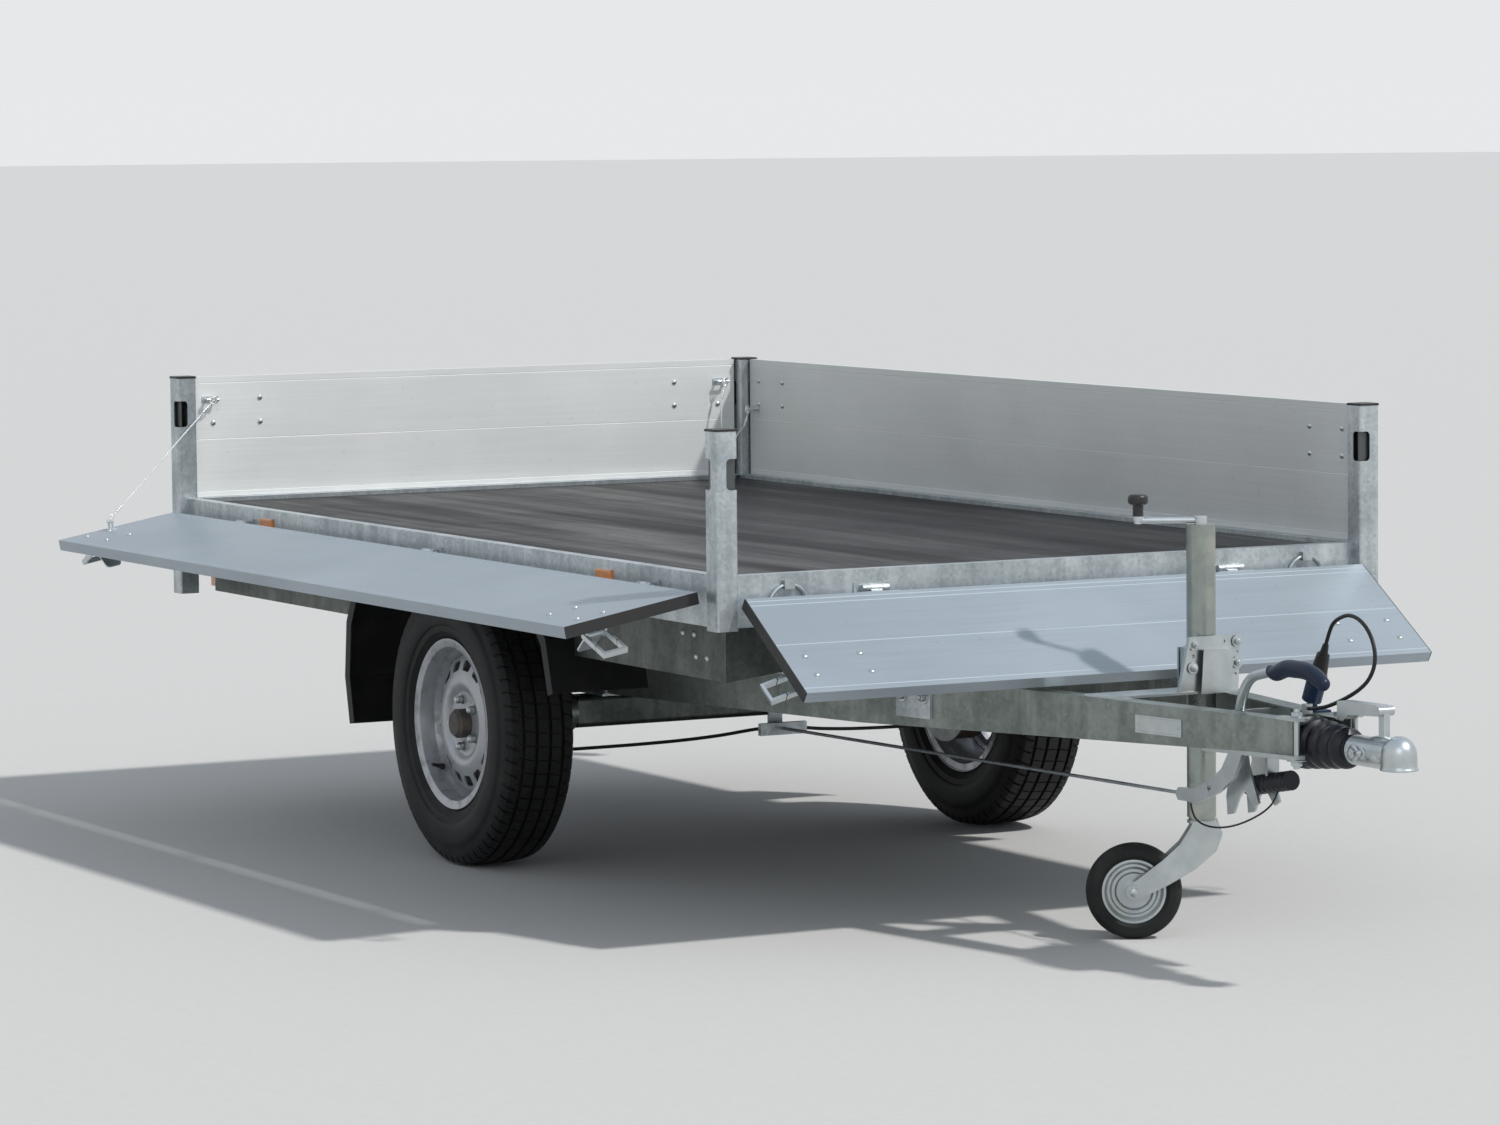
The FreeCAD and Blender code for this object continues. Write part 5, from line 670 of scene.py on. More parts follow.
# %% Lathe
MERGE = 0.00002


def spun(outline, steps, closed=True):
    """(radius, along) pairs spun about Z; the mesh is left in edit mode."""
    piece = primitive("circle", vertices=len(outline), radius=1)
    mesh = edit(piece)
    mesh.verts.ensure_lookup_table()
    for vertex, (radius, along) in zip(mesh.verts, outline):
        vertex.co = Vector((radius, 0, along))
    if not closed:
        mesh.edges.remove(mesh.edges.get((mesh.verts[0], mesh.verts[-1])))
    bmesh.update_edit_mesh(piece.data)
    bpy.ops.mesh.select_all(action="SELECT")
    bpy.ops.mesh.spin(steps=steps, angle=2 * math.pi, center=(0, 0, 0), axis=(0, 0, 1))
    bpy.ops.mesh.select_all(action="SELECT")
    bpy.ops.mesh.remove_doubles(threshold=MERGE)
    return piece


def lathe(outline, steps=64):
    piece = spun(outline, steps)
    turn_outward()
    return piece


# %% [markdown]
# A tyre's section runs from bead to bead over the sidewall, the shoulder and four grooves between five ribs.
# It is a list of points, each marked with what it belongs to, so that the tread can sink only some of them.

# %% Tyre section
HALF_TREAD = 0.074
TREAD_RADIUS, CROWN_DROP = 0.323, 0.006
GROOVE_DEPTH = 0.0075
GROOVES = (-0.049, -0.017, 0.017, 0.049)
GROOVE_HALF, GROOVE_SLOPE = 0.0042, 0.0012
SIDEWALL = ((-0.0685, 0.1783), (-0.0716, 0.1956), (-0.0775, 0.2000), (-0.0810, 0.2075), (-0.0850, 0.2110),
            (-0.0868, 0.2250), (-0.0890, 0.2268), (-0.0906, 0.2290), (-0.0922, 0.2430), (-0.0925, 0.2540),
            (-0.0920, 0.2680), (-0.0900, 0.2780), (-0.0884, 0.2800), (-0.0868, 0.2880), (-0.0842, 0.3000))
SHOULDER = ((-0.0805, 0.3085), (-0.0770, 0.3130))


def crown(y):
    """Radius of the tread's face at a distance from its middle."""
    return TREAD_RADIUS - CROWN_DROP * abs(y / HALF_TREAD) ** 3.0


def on_crown(what, *places):
    return [(y, crown(y), what) for y in places]


def tyre_section():
    """(y, radius, what) from bead to bead: what tells side, shoulder, rib or groove."""
    section = [(y, r, "side") for y, r in SIDEWALL] + [(y, r, "shoulder") for y, r in SHOULDER]
    section += on_crown("shoulder", -HALF_TREAD)
    y = -HALF_TREAD
    for centre in GROOVES:
        a, b = centre - GROOVE_HALF, centre + GROOVE_HALF
        what = "shoulder" if centre == GROOVES[0] else "rib"
        section += on_crown(what, *[y + (a - y) * k / 3 for k in (1, 2)]) + on_crown("rib", a)
        section += [(a + GROOVE_SLOPE, crown(a) - GROOVE_DEPTH, "groove"),
                    (b - GROOVE_SLOPE, crown(b) - GROOVE_DEPTH, "groove")] + on_crown("rib", b)
        y = b
    section += on_crown("shoulder", *[y + (HALF_TREAD - y) * k / 3 for k in (1, 2)], HALF_TREAD)
    section += [(-y, r, "shoulder") for y, r in reversed(SHOULDER)]
    return section + [(-y, r, "side") for y, r in reversed(SIDEWALL)]


print("tyre section points", len(tyre_section()))

# %% [markdown]
# The tread is one pitch, modelled on a grid and repeated round the wheel by an array about its axis. Columns
# of the grid run across the section and rows along the turn, so circumferential grooves are steps in the
# section and cross grooves are rows that sink. Modelling one pitch keeps sixty-four of them alike.

# %% Tyre tread
PITCHES = 64
ROWS = (0.0, 0.25, 0.28, 0.42, 0.45, 0.76, 0.78, 0.86, 0.88, 1.0)
ROW_LEAN = 0.5
SINKS = {("shoulder", 2): 0.8, ("shoulder", 3): 0.8, ("rib", 6): 0.55, ("rib", 7): 0.55}


def make_tyre(name, body, centre_y):
    section = tyre_section()
    piece = primitive("grid", x_subdivisions=len(section) - 1, y_subdivisions=len(ROWS) - 1, size=2)
    pitch = 2 * math.pi / PITCHES
    for vertex in piece.data.vertices:
        row, column = divmod(vertex.index, len(section))
        y, radius, what = section[column]
        angle = pitch * (ROWS[row] + ROW_LEAN * (y / HALF_TREAD) ** 2 * (1 if y > 0 else -1))
        radius -= GROOVE_DEPTH * SINKS.get((what, row), 0.0)
        vertex.co = Vector((radius * math.sin(angle), y, radius * math.cos(angle)))
    pitch_turn = linked("pitch_turn", None)
    pitch_turn.rotation_euler = (0, pitch, 0)
    apply_modifier(piece, "ARRAY", count=PITCHES, use_relative_offset=False, use_object_offset=True,
                   offset_object=pitch_turn, use_merge_vertices=True, use_merge_vertices_cap=True,
                   merge_threshold=0.00005)
    bpy.data.objects.remove(pitch_turn)
    edit(piece)
    choose(piece, "EDGE", lambda edge: edge.is_boundary)
    bpy.ops.mesh.bridge_edge_loops()
    bpy.ops.mesh.select_all(action="SELECT")
    turn_outward()
    piece.location = (WHEEL_AXIS.x, centre_y, WHEEL_AXIS.z)
    return hand_over(piece, name, body, "tyre", 32.0)


for side in ("right", "left"):
    tyre = make_tyre("tyre_tread_" + side, "wheel_" + side, middle_of("tyre_" + side).y)
    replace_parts(tyre, "tyre_" + side)
print("tyre faces", len(tyre.data.polygons))

# %% [markdown]
# Fasteners are modelled once, seat at the origin and axis along Z, then copied with a mesh of their own to
# each place. A hexagon head has a bevelled edge, a round washer under it and the end of its bolt above it.

# %% Fasteners
def bevelled(piece, width, segments=2, angle=40.0):
    return apply_modifier(piece, "BEVEL", width=width, segments=segments, limit_method="ANGLE",
                          angle_limit=math.radians(angle))


def disc(radius, low, high, vertices=28):
    return settle(primitive("cylinder", vertices=vertices, radius=radius, depth=high - low,
                            location=(0, 0, (low + high) / 2)))


def hex_head(across, height, washer, shank):
    head = bevelled(disc(across / math.sqrt(3), washer, washer + height, 6), across * 0.07)
    ring = bevelled(disc(across * 0.92, 0, washer), washer * 0.3, 1)
    tip = bevelled(disc(across * 0.3, washer, washer + height + shank, 20), across * 0.05)
    return join([head, ring, tip])


def dome_head(radius, height):
    return lathe([(0.0, 0.0), (radius, 0.0), (radius, height * 0.15), (radius * 0.86, height * 0.55),
                  (radius * 0.55, height * 0.88), (0.0, height)], 24)


def copies(master, places):
    made = [put(linked(master.name, master.data.copy()), place, axis) for place, axis in places]
    bpy.data.objects.remove(master)
    return join(made)


def both_sides(places):
    """The places and their mirror images across the trailer's middle."""
    return places + [((x, -y, z), (ax, -ay, az)) for (x, y, z), (ax, ay, az) in places]


def fasten(name, master, places, body="chassis"):
    hand_over(copies(master, places), name, body, "zinc")
    print(name, len(places))


# %% [markdown]
# A pressed steel wheel is two pieces welded together: a rolled barrel, and a disc whose ring of vents is
# punched before its edge is drawn over. The disc is one outline spun in ninety steps. In the vents' row four
# of every six faces are taken out, and subdivision then rounds what is left into ovals.

# %% Pressed wheels
VENTS = 15
STEPS_PER_VENT = 6
VENT_ROW = (0.1200, 0.1440)
VENT_HALF_DEG = 6.5
SHEET = 0.0036
DISC_OUTLINE = ((0.0335, 0.0370), (0.0500, 0.0370), (0.0690, 0.0370), (0.0750, 0.0382), (0.0830, 0.0455),
                (0.0920, 0.0490), (0.1010, 0.0484), (0.1110, 0.0462), (0.1200, 0.0436), (0.1440, 0.0352),
                (0.1500, 0.0322), (0.1545, 0.0275), (0.1568, 0.0150))
BARREL_OUTER = ((0.195, -0.078), (0.195, -0.072), (0.178, -0.069), (0.174, -0.048), (0.160, -0.036),
                (0.160, 0.012), (0.174, 0.038), (0.178, 0.069), (0.1935, 0.0715), (0.1955, 0.0745))
BARREL_INNER = ((0.1945, 0.0780), (0.1915, 0.0770), (0.175, 0.0735), (0.171, 0.038), (0.157, 0.014),
                (0.157, -0.038), (0.171, -0.050), (0.175, -0.073), (0.192, -0.075), (0.192, -0.078))


def vent_here(face):
    centre = face.calc_center_median()
    radius = math.hypot(centre.x, centre.y)
    turn = math.degrees(math.atan2(centre.y, centre.x)) % (360 / VENTS)
    return VENT_ROW[0] < radius < VENT_ROW[1] and abs(turn - 180 / VENTS) < VENT_HALF_DEG


def wheel_disc():
    piece = spun(DISC_OUTLINE, VENTS * STEPS_PER_VENT, closed=False)
    choose(piece, "FACE", vent_here)
    bpy.ops.mesh.delete(type="FACE")
    leave_edit()
    apply_modifier(piece, "SUBSURF", levels=2, render_levels=2)
    apply_modifier(piece, "SOLIDIFY", thickness=SHEET, offset=0.0)
    edit(piece)
    bpy.ops.mesh.select_all(action="SELECT")
    turn_outward()
    return piece


for side, sign in (("right", -1), ("left", 1)):
    barrel = bevelled(lathe(BARREL_OUTER + BARREL_INNER, 96), 0.0016, 2, 20.0)
    seat = (WHEEL_AXIS.x, middle_of("rim_" + side).y, WHEEL_AXIS.z)
    rim = put(join([barrel, wheel_disc()]), seat, (0, sign, 0))
    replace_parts(hand_over(rim, "wheel_rim_" + side, "wheel_" + side, "wheel_silver"), "rim_" + side)
print("rim faces", len(rim.data.polygons), "middle", round(seat[1], 4))

# %% [markdown]
# Five bolts hold each wheel on a circle of 112 mm, their heads domed. A rubber valve stands in the rim's well
# towards the rear and leans outwards.

# %% Wheel bolts and valves
DISC_FACE = 0.7085
BOLTS, BOLT_CIRCLE, FIRST_BOLT_DEG = 5, 0.056, -20.0
VALVE_DEG, VALVE_RADIUS, VALVE_Y = 226.0, 0.158, 0.716
VALVE_LEAN = (0.25, 0.94, 0.24)


def wheel_place(angle_degrees, radius, y):
    angle = math.radians(angle_degrees)
    return (WHEEL_AXIS.x + radius * math.sin(angle), y, WHEEL_AXIS.z + radius * math.cos(angle))


def wheel_bolt():
    head = bevelled(disc(0.0098, 0.003, 0.014, 6), 0.0012)
    seat = lathe([(0.0, -0.002), (0.0075, -0.002), (0.0118, 0.0035), (0.0118, 0.0045), (0.0, 0.0045)], 32)
    dome = lathe([(0.0, 0.013), (0.0078, 0.013), (0.0060, 0.0165), (0.0, 0.0178)], 24)
    return join([head, seat, dome])


def valve():
    return lathe([(0.0, -0.004), (0.0075, -0.004), (0.0075, 0.001), (0.0052, 0.004), (0.0046, 0.016),
                  (0.0040, 0.018), (0.0044, 0.019), (0.0044, 0.028), (0.0035, 0.030), (0.0, 0.030)], 24)


for side, sign in (("right", -1), ("left", 1)):
    body = "wheel_" + side
    angles = [FIRST_BOLT_DEG + 360 / BOLTS * k for k in range(BOLTS)]
    spots = [(wheel_place(angle, BOLT_CIRCLE, sign * DISC_FACE), (0, sign, 0)) for angle in angles]
    fasten("wheel_bolts_" + side, wheel_bolt(), spots, body)
    lean = (VALVE_LEAN[0], sign * VALVE_LEAN[1], VALVE_LEAN[2])
    stem = put(valve(), wheel_place(VALVE_DEG, VALVE_RADIUS, sign * VALVE_Y), lean)
    hand_over(stem, "valve_" + side, body, "black_plastic")

# %% [markdown]
# The frame is bolted and riveted together. Each table below gives the right side's places, and the left side
# mirrors them: domed bolts through the deep panels, and nuts above and below the straps that clamp the
# overrun housing.

# %% Frame bolts
RIGHT, FORWARD, REARWARD, UPWARD, DOWNWARD = (0, -1, 0), (1, 0, 0), (-1, 0, 0), (0, 0, 1), (0, 0, -1)
PANEL_Y = -0.7202
PANEL_BOLTS = (
    (-1.582, 0.155), (-1.531, 0.155), (-1.523, 0.109), (-1.474, 0.109), (-3.760, 0.155), (-3.810, 0.155),
    (-3.770, 0.109), (-3.820, 0.109), (-2.255, 0.150), (-2.310, 0.150), (-3.100, 0.150), (-3.155, 0.150))
STRAP_X, STRAP_Y, STRAP_TOP_Z, STRAP_FOOT_Z = -0.250, -0.0685, 0.0555, -0.0262
panel_bolts = [((x, PANEL_Y, z), RIGHT) for x, z in PANEL_BOLTS]
fasten("panel_bolts", dome_head(0.0085, 0.0055), both_sides(panel_bolts))
strap_nuts = [((STRAP_X, STRAP_Y, STRAP_TOP_Z), UPWARD), ((STRAP_X, STRAP_Y, STRAP_FOOT_Z), DOWNWARD)]
fasten("strap_bolts", hex_head(0.0215, 0.010, 0.002, 0.006), both_sides(strap_nuts))

# %% [markdown]
# Each hinge leaf is riveted to its rail by its two ends. The leaves stand at three stations along the sides
# and two across the ends, so a short table of stations places every rivet.

# %% Hinge rivets
SIDE_HINGES, SIDE_LEAF_Y = (-1.596, -2.6625, -3.729), 0.7940
END_HINGES, FRONT_LEAF_X, REAR_LEAF_X = (-0.438, 0.438), -1.2720, -4.1230
LEAF_ENDS = (-0.036, 0.036)
HINGE_RIVET_Z = PIN_OF["rear"].z - 0.022

hinge_spots = []
for x in [station + end for station in SIDE_HINGES for end in LEAF_ENDS]:
    hinge_spots += [((x, side * SIDE_LEAF_Y, HINGE_RIVET_Z), (0, side, 0)) for side in (-1, 1)]
for y in [station + end for station in END_HINGES for end in LEAF_ENDS]:
    hinge_spots += [((FRONT_LEAF_X, y, HINGE_RIVET_Z), FORWARD), ((REAR_LEAF_X, y, HINGE_RIVET_Z), REARWARD)]
fasten("hinge_rivets", dome_head(0.0062, 0.0036), hinge_spots)

# %% [markdown]
# Four rivets near each end of a board hold its latch. Their domed heads show bright on the inner face. They
# are placed in the board's own frame, so they follow it whether it stands or hangs, and the one that a rope's
# staple takes the place of is left out. The ropes' ends are at the staples.

# %% Board rivets
LATCH_FROM_END = 0.112
LATCH_FROM_PIN = PIN_BELOW_BOARD + BOARD_HEIGHT - 0.085
RIVET_SPREAD = (0.0635, 0.030)
STAPLE_CLEAR = 0.032
RIGHT_ROPE_ENDS = (-4.0935, -0.7180, 0.5400), (-4.0560, -1.0159, 0.2575)
LEFT_ROPE_ENDS = (-4.0935, 0.7180, 0.5400), (-4.0560, 0.7645, 0.4680)
SIGNS = [(end, dx, dz) for end in (-1, 1) for dx in (-1, 1) for dz in (-1, 1)]


def board_rivets(side):
    face, rise, run = board_frame(side)
    low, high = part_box(side + "_board")
    length = (high - low).dot(Vector([abs(c) for c in run]))
    middle = middle_of(side + "_board").dot(run) * run
    pin = PIN_OF[side] - PIN_OF[side].dot(run) * run
    spots = []
    for end, dx, dz in SIGNS:
        along = end * (length / 2 - LATCH_FROM_END) + dx * RIVET_SPREAD[0]
        height = LATCH_FROM_PIN + dz * RIVET_SPREAD[1]
        spot = middle + pin + run * along + rise * height - face * BOARD_HALF
        if all((spot - Vector(staple)).length > STAPLE_CLEAR for staple in RIGHT_ROPE_ENDS + LEFT_ROPE_ENDS):
            spots.append((spot, -face))
    return spots


for side in BOARD_PAINTED_LIGHT_TONES:
    fasten(side + "_board_rivets", dome_head(0.0068, 0.0042), board_rivets(side), side + "_gate")

# %% [markdown]
# Hexagon bolts hold the drawbar's arms to the front beam and its pads to the axle tube. The arm's outer face
# leans with its taper, so the bolts lean with it.

# %% Drawbar bolts
ARM_TAPER = math.radians(9.4)
ARM_SIDE = (math.sin(ARM_TAPER), -math.cos(ARM_TAPER), 0)
ARM_TIP_X, ARM_TIP_Y = -0.262, -0.070
ARM_BOLTS_X, ARM_BOLTS_Z, BRACKET_WALL = (-1.374, -1.444), (0.010, 0.052), 0.0060
PAD_MIDDLE_X, PAD_TOP_Z, PAD_BOLTS, PAD_INSET = -2.551, -0.0695, (-0.046, 0.046), 0.010


def arm_face(x):
    """The y of the right arm's outer face."""
    return ARM_TIP_Y - (ARM_TIP_X - x) * math.tan(ARM_TAPER)


arm_bolts = [((x, arm_face(x) - BRACKET_WALL, z), ARM_SIDE) for x in ARM_BOLTS_X for z in ARM_BOLTS_Z]
pad_y = arm_face(PAD_MIDDLE_X) + PAD_INSET
pad_bolts = [((PAD_MIDDLE_X + dx, pad_y, PAD_TOP_Z), UPWARD) for dx in PAD_BOLTS]
fasten("drawbar_bolts", hex_head(0.017, 0.0085, 0.002, 0.004), both_sides(arm_bolts + pad_bolts))

# %% [markdown]
# A small blank plate with a raised border is riveted to the right arm. The border is an inset of the face,
# and the field inside it is pushed back, as a press would do it.

# %% The blank plate on the arm
PLATE_MIDDLE_X, PLATE_MIDDLE_Z = -0.648, 0.008
PLATE_LENGTH, PLATE_HEIGHT, PLATE_THICKNESS = 0.138, 0.036, 0.0024
PLATE_BORDER, FIELD_SLOPE, FIELD_DEPTH = 0.0035, 0.0008, 0.0012
PLATE_RIVET_REACH = 0.060


def arm_plate():
    piece = settle(primitive("cube", size=1.0, scale=(PLATE_HEIGHT, PLATE_LENGTH, PLATE_THICKNESS)))
    edit(piece)
    choose(piece, "FACE", lambda face: face.normal.z > 0.9)
    bpy.ops.mesh.inset(thickness=PLATE_BORDER)
    bpy.ops.mesh.inset(thickness=FIELD_SLOPE)
    bpy.ops.transform.translate(value=(0, 0, -FIELD_DEPTH))
    leave_edit()
    field_z = PLATE_THICKNESS / 2 - FIELD_DEPTH
    rivets = [put(dome_head(0.0030, 0.0018), (0, end * PLATE_RIVET_REACH, field_z)) for end in (-1, 1)]
    return join([piece] + rivets)


plate_out, plate_up = Vector(ARM_SIDE), Vector((0, 0, 1))
plate_seat = Vector((PLATE_MIDDLE_X, arm_face(PLATE_MIDDLE_X), PLATE_MIDDLE_Z))
plate_place = plate_seat + plate_out * (PLATE_THICKNESS / 2)
plate_turn = Matrix((plate_up, plate_out.cross(plate_up).normalized(), plate_out)).transposed().to_4x4()
plate = arm_plate()
plate.matrix_world = Matrix.Translation(plate_place) @ plate_turn
hand_over(plate, "arm_plate", "chassis", "zinc")
print("arm plate at", [round(c, 4) for c in plate_place])

# %% [markdown]
# The coupling head is pressed from two halves of sheet: a round neck, a raised spine and a dome over the tow
# ball, with a flared rim below. Simple solids give the masses, the ball's socket is cut out, and a voxel
# remesh with a few smoothing passes runs them into each other with the soft edges of a pressing.

# %% Coupling head
HEAD_BACK_X, HEAD_TOP_Z, HEAD_FOOT_Z = -0.146, 0.0398, -0.0268
DOME_RADIUS, RIM_RADIUS, SOCKET_RADIUS, NECK_RADIUS = 0.0345, 0.0366, 0.0256, 0.0298
DOME_Z, SKIRT_TOP_Z, SOCKET_FOOT_Z = 0.004, 0.006, -0.040
RIM_OUTLINE = ((0.026, 0.0), (RIM_RADIUS, 0.0), (RIM_RADIUS + 0.0016, 0.002), (RIM_RADIUS, 0.0045),
               (DOME_RADIUS, 0.009), (0.026, 0.009))
HEAD_BOLTS = ((-0.112, -0.002, 0.019), (-0.085, 0.000, 0.013))


def ball(place, size):
    return settle(primitive("uv_sphere", segments=48, ring_count=24, radius=1.0, location=place, scale=size))


def cut(piece, cutter):
    apply_modifier(piece, "BOOLEAN", operation="DIFFERENCE", object=cutter, solver="EXACT")
    bpy.data.objects.remove(cutter)


def head_masses():
    dome = ball((0, 0, DOME_Z), (DOME_RADIUS, DOME_RADIUS, HEAD_TOP_Z - DOME_Z))
    skirt = lathe([(0.0, HEAD_FOOT_Z), (DOME_RADIUS + 0.001, HEAD_FOOT_Z), (DOME_RADIUS, SKIRT_TOP_Z),
                   (0.0, SKIRT_TOP_Z)], 48)
    rim = lathe([(radius, HEAD_FOOT_Z + above) for radius, above in RIM_OUTLINE], 48)
    neck = put(disc(NECK_RADIUS, 0.0, -HEAD_BACK_X, 48), (HEAD_BACK_X, 0, 0), FORWARD)
    spine = ball((-0.052, 0, 0.013), (0.062, 0.0175, 0.0225))
    cheeks = ball((-0.050, 0, -0.006), (0.050, 0.0315, 0.0215))
    return join([dome, skirt, rim, neck, spine, cheeks])


def coupling_head():
    solid = head_masses()
    apply_modifier(solid, "REMESH", mode="VOXEL", voxel_size=0.0014)
    cut(solid, ball((0, 0, 0), (SOCKET_RADIUS,) * 3))
    cut(solid, disc(SOCKET_RADIUS, SOCKET_FOOT_Z, 0.0, 48))
    apply_modifier(solid, "REMESH", mode="VOXEL", voxel_size=0.0012)
    apply_modifier(solid, "SMOOTH", factor=0.5, iterations=7)
    bolts = [put(hex_head(across, 0.0070, 0.0018, 0.002), (x, sign * (NECK_RADIUS - 0.0006), z), (0, sign, 0))
             for x, z, across in HEAD_BOLTS for sign in (-1, 1)]
    return join([solid] + bolts)


head = hand_over(coupling_head(), "coupling_head_pressing", "chassis", "zinc", 50.0)
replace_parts(head, "coupling_head")
print("coupling head faces", len(head.data.polygons))

# %% [markdown]
# The clamp's plate carries four nuts on its face. The fork below has a nut each side of the small wheel's
# axle, and that wheel's own joint gives the axle's place and direction.

# %% Clamp and fork nuts
CLAMP_FACE_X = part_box("jockey_clamp")[1].x - 0.0115
CLAMP_NUTS = ((0.041, 0.151), (0.038, 0.103), (0.145, 0.153), (0.145, 0.109))
FORK_HALF = 0.0332
clamp_spots = [((CLAMP_FACE_X, y, z), FORWARD) for y, z in CLAMP_NUTS]
fasten("clamp_nuts", hex_head(0.0135, 0.0065, 0.0015, 0.003), clamp_spots)
axle, across = (Vector(joints["jockey_wheel_spin"][key]) for key in ("pos_m", "axis"))
fork_spots = [(axle + across * FORK_HALF * side, across * side) for side in (-1, 1)]
fasten("fork_nuts", hex_head(0.017, 0.0085, 0.002, 0.003), fork_spots, "jockey_swivel")

# %% [markdown]
# A cord is a round curve along its route. A NURBS curve takes the route as its control points, so its bends
# stay soft. Drawn once more with no thickness, it gives the line along which a cord's length is measured.

# %% Curves along a route
def curve_through(name, kind, route, radius, roundness):
    data = bpy.data.curves.new(name, "CURVE")
    data.dimensions = "3D"
    spline = data.splines.new(kind)
    spline.points.add(len(route) - 1)
    for point, place in zip(spline.points, route):
        point.co = (*place, 1)
    data.bevel_depth = radius
    data.bevel_resolution = roundness
    data.use_fill_caps = True
    return linked(name, data)


def cord_curve(name, route, radius):
    cord = curve_through(name, "NURBS", route, radius, 5)
    spline = cord.data.splines[0]
    spline.order_u = 3
    spline.use_endpoint_u = True
    spline.resolution_u = 8
    return cord


def line_of(route):
    """Points along the route's spline, as Blender draws it with no bevel."""
    curve = cord_curve("route_line", route, 0.0)
    mesh = bpy.data.meshes.new_from_object(curve.evaluated_get(bpy.context.evaluated_depsgraph_get()))
    points = [vertex.co.copy() for vertex in mesh.vertices]
    bpy.data.meshes.remove(mesh)
    bpy.data.objects.remove(curve)
    return points


def length_of(points):
    return sum((b - a).length for a, b in zip(points, points[1:]))


# %% [markdown]
# The lead that runs from the parked plug round to the housing and the thin safety cable under it hang free.
# Their routes were read from the photograph, and they rest on the clips and eyes of the frame.

# %% The plug lead and the safety cable
PLUG_LEAN = Vector((math.sin(math.radians(24)), 0, math.cos(math.radians(24))))
PLUG_SEAT = Vector((-0.358, 0.050, 0.111))
PLUG_TIP = PLUG_SEAT + PLUG_LEAN * 0.0846
LEAD_ROUTE = [PLUG_TIP, PLUG_TIP + PLUG_LEAN * 0.026,
              (-0.298, 0.0495, 0.233), (-0.270, 0.048, 0.246), (-0.236, 0.046, 0.254), (-0.196, 0.043, 0.248),
              (-0.160, 0.040, 0.228), (-0.136, 0.037, 0.198), (-0.130, 0.034, 0.165), (-0.146, 0.031, 0.134),
              (-0.176, 0.028, 0.112), (-0.214, 0.026, 0.094), (-0.256, 0.024, 0.078), (-0.300, 0.023, 0.065),
              (-0.3434, 0.023, 0.061)]
SAFETY_ROUTE = [(-0.404, -0.01045, -0.10672), (-0.405, -0.018, -0.127), (-0.424, -0.026, -0.147),
                (-0.456, -0.034, -0.165), (-0.500, -0.040, -0.182), (-0.546, -0.044, -0.193),
                (-0.592, -0.046, -0.197), (-0.632, -0.0475, -0.193), (-0.658, -0.0485, -0.178),
                (-0.664, -0.0485, -0.1554)]


def free_cord(name, route, radius, node, **facts):
    cord = cord_curve(name, route, radius)
    dress(cord, FINISHES["cable_rubber"])
    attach(cord, "chassis")
    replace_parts(cord, node)
    length_of(line_of(route))


free_cord("plug_lead_cord", LEAD_ROUTE, 0.004, "plug_lead", with_pieces=["plug"])
free_cord("safety_cord", SAFETY_ROUTE, 0.002, "safety_cable")
print("cords", [round(length_of(line_of(route)), 3) for route in (LEAD_ROUTE, SAFETY_ROUTE)])

# %% [markdown]
# A wire rope is strands wound round one line. The line is read from the route's spline, each strand keeps a
# fixed distance from it and turns about it, and so the rope looks twisted up close and thin from afar.

# %% Twisted wire
STRANDS, LAY_LENGTH, LINE_STEP = 3, 0.022, 0.0025
ASIDE = Vector((0.3, 1.0, 0.1))


def strand(line, radius, offset, phase):
    points = []
    run = 0.0
    for index, point in enumerate(line):
        ahead = line[min(index + 1, len(line) - 1)] - line[max(index - 1, 0)]
        run += (point - line[index - 1]).length if index else 0.0
        across = ahead.cross(ASIDE).normalized()
        over = ahead.cross(across).normalized()
        angle = phase + 2 * math.pi * run / LAY_LENGTH
        points.append(point + (across * math.cos(angle) + over * math.sin(angle)) * offset)
    tube = curve_through("strand", "POLY", points, radius, 1)
    pick(tube)
    bpy.ops.object.convert(target="MESH")
    return tube


def evenly(line, step):
    """The same line with points a fixed step apart."""
    even = [line[0]]
    for a, b in zip(line, line[1:]):
        while (b - even[-1]).length > step and (b - a).length > 0:
            even.append(even[-1] + (b - even[-1]).normalized() * step)
    return even + [line[-1]]


# %% [markdown]
# Near each end a pressed sleeve closes the rope's eye. The sleeve is waisted by the crimping tool and turned
# on the lathe along the rope. The eye is a ring drawn out a little along the pull.

# %% Sleeves and eyes
SLEEVE_LENGTH, SLEEVE_RADIUS = 0.020, 0.0034
EYE_RADIUS, EYE_WIRE, EYE_STRETCH = 0.0085, 0.0018, (0.8, 1.25, 1.0)
SLEEVE_POINT = 14


def ferrule(line, middle):
    way = line[min(middle + 2, len(line) - 1)] - line[max(middle - 2, 0)]
    half, r = SLEEVE_LENGTH / 2, SLEEVE_RADIUS
    outline = [(0.0, -half), (r * 0.8, -half), (r, -half * 0.8), (r * 0.86, -half * 0.4), (r, 0),
               (r * 0.86, half * 0.4), (r, half * 0.8), (r * 0.8, half), (0.0, half)]
    return put(lathe(outline, 20), line[middle], way)


def rope_eye(place, way):
    """The loop at the rope's end, standing upright in the plane of its way."""
    loop = primitive("torus", major_radius=EYE_RADIUS, minor_radius=EYE_WIRE, major_segments=32,
                     minor_segments=10)
    loop.scale = EYE_STRETCH
    settle(loop)
    along = way.normalized()
    normal = way.cross(Vector((0, 0, 1))).normalized()
    turn = Matrix((along.cross(normal), along, normal)).transposed().to_4x4()
    loop.matrix_world = Matrix.Translation(place) @ turn
    return settle(loop)


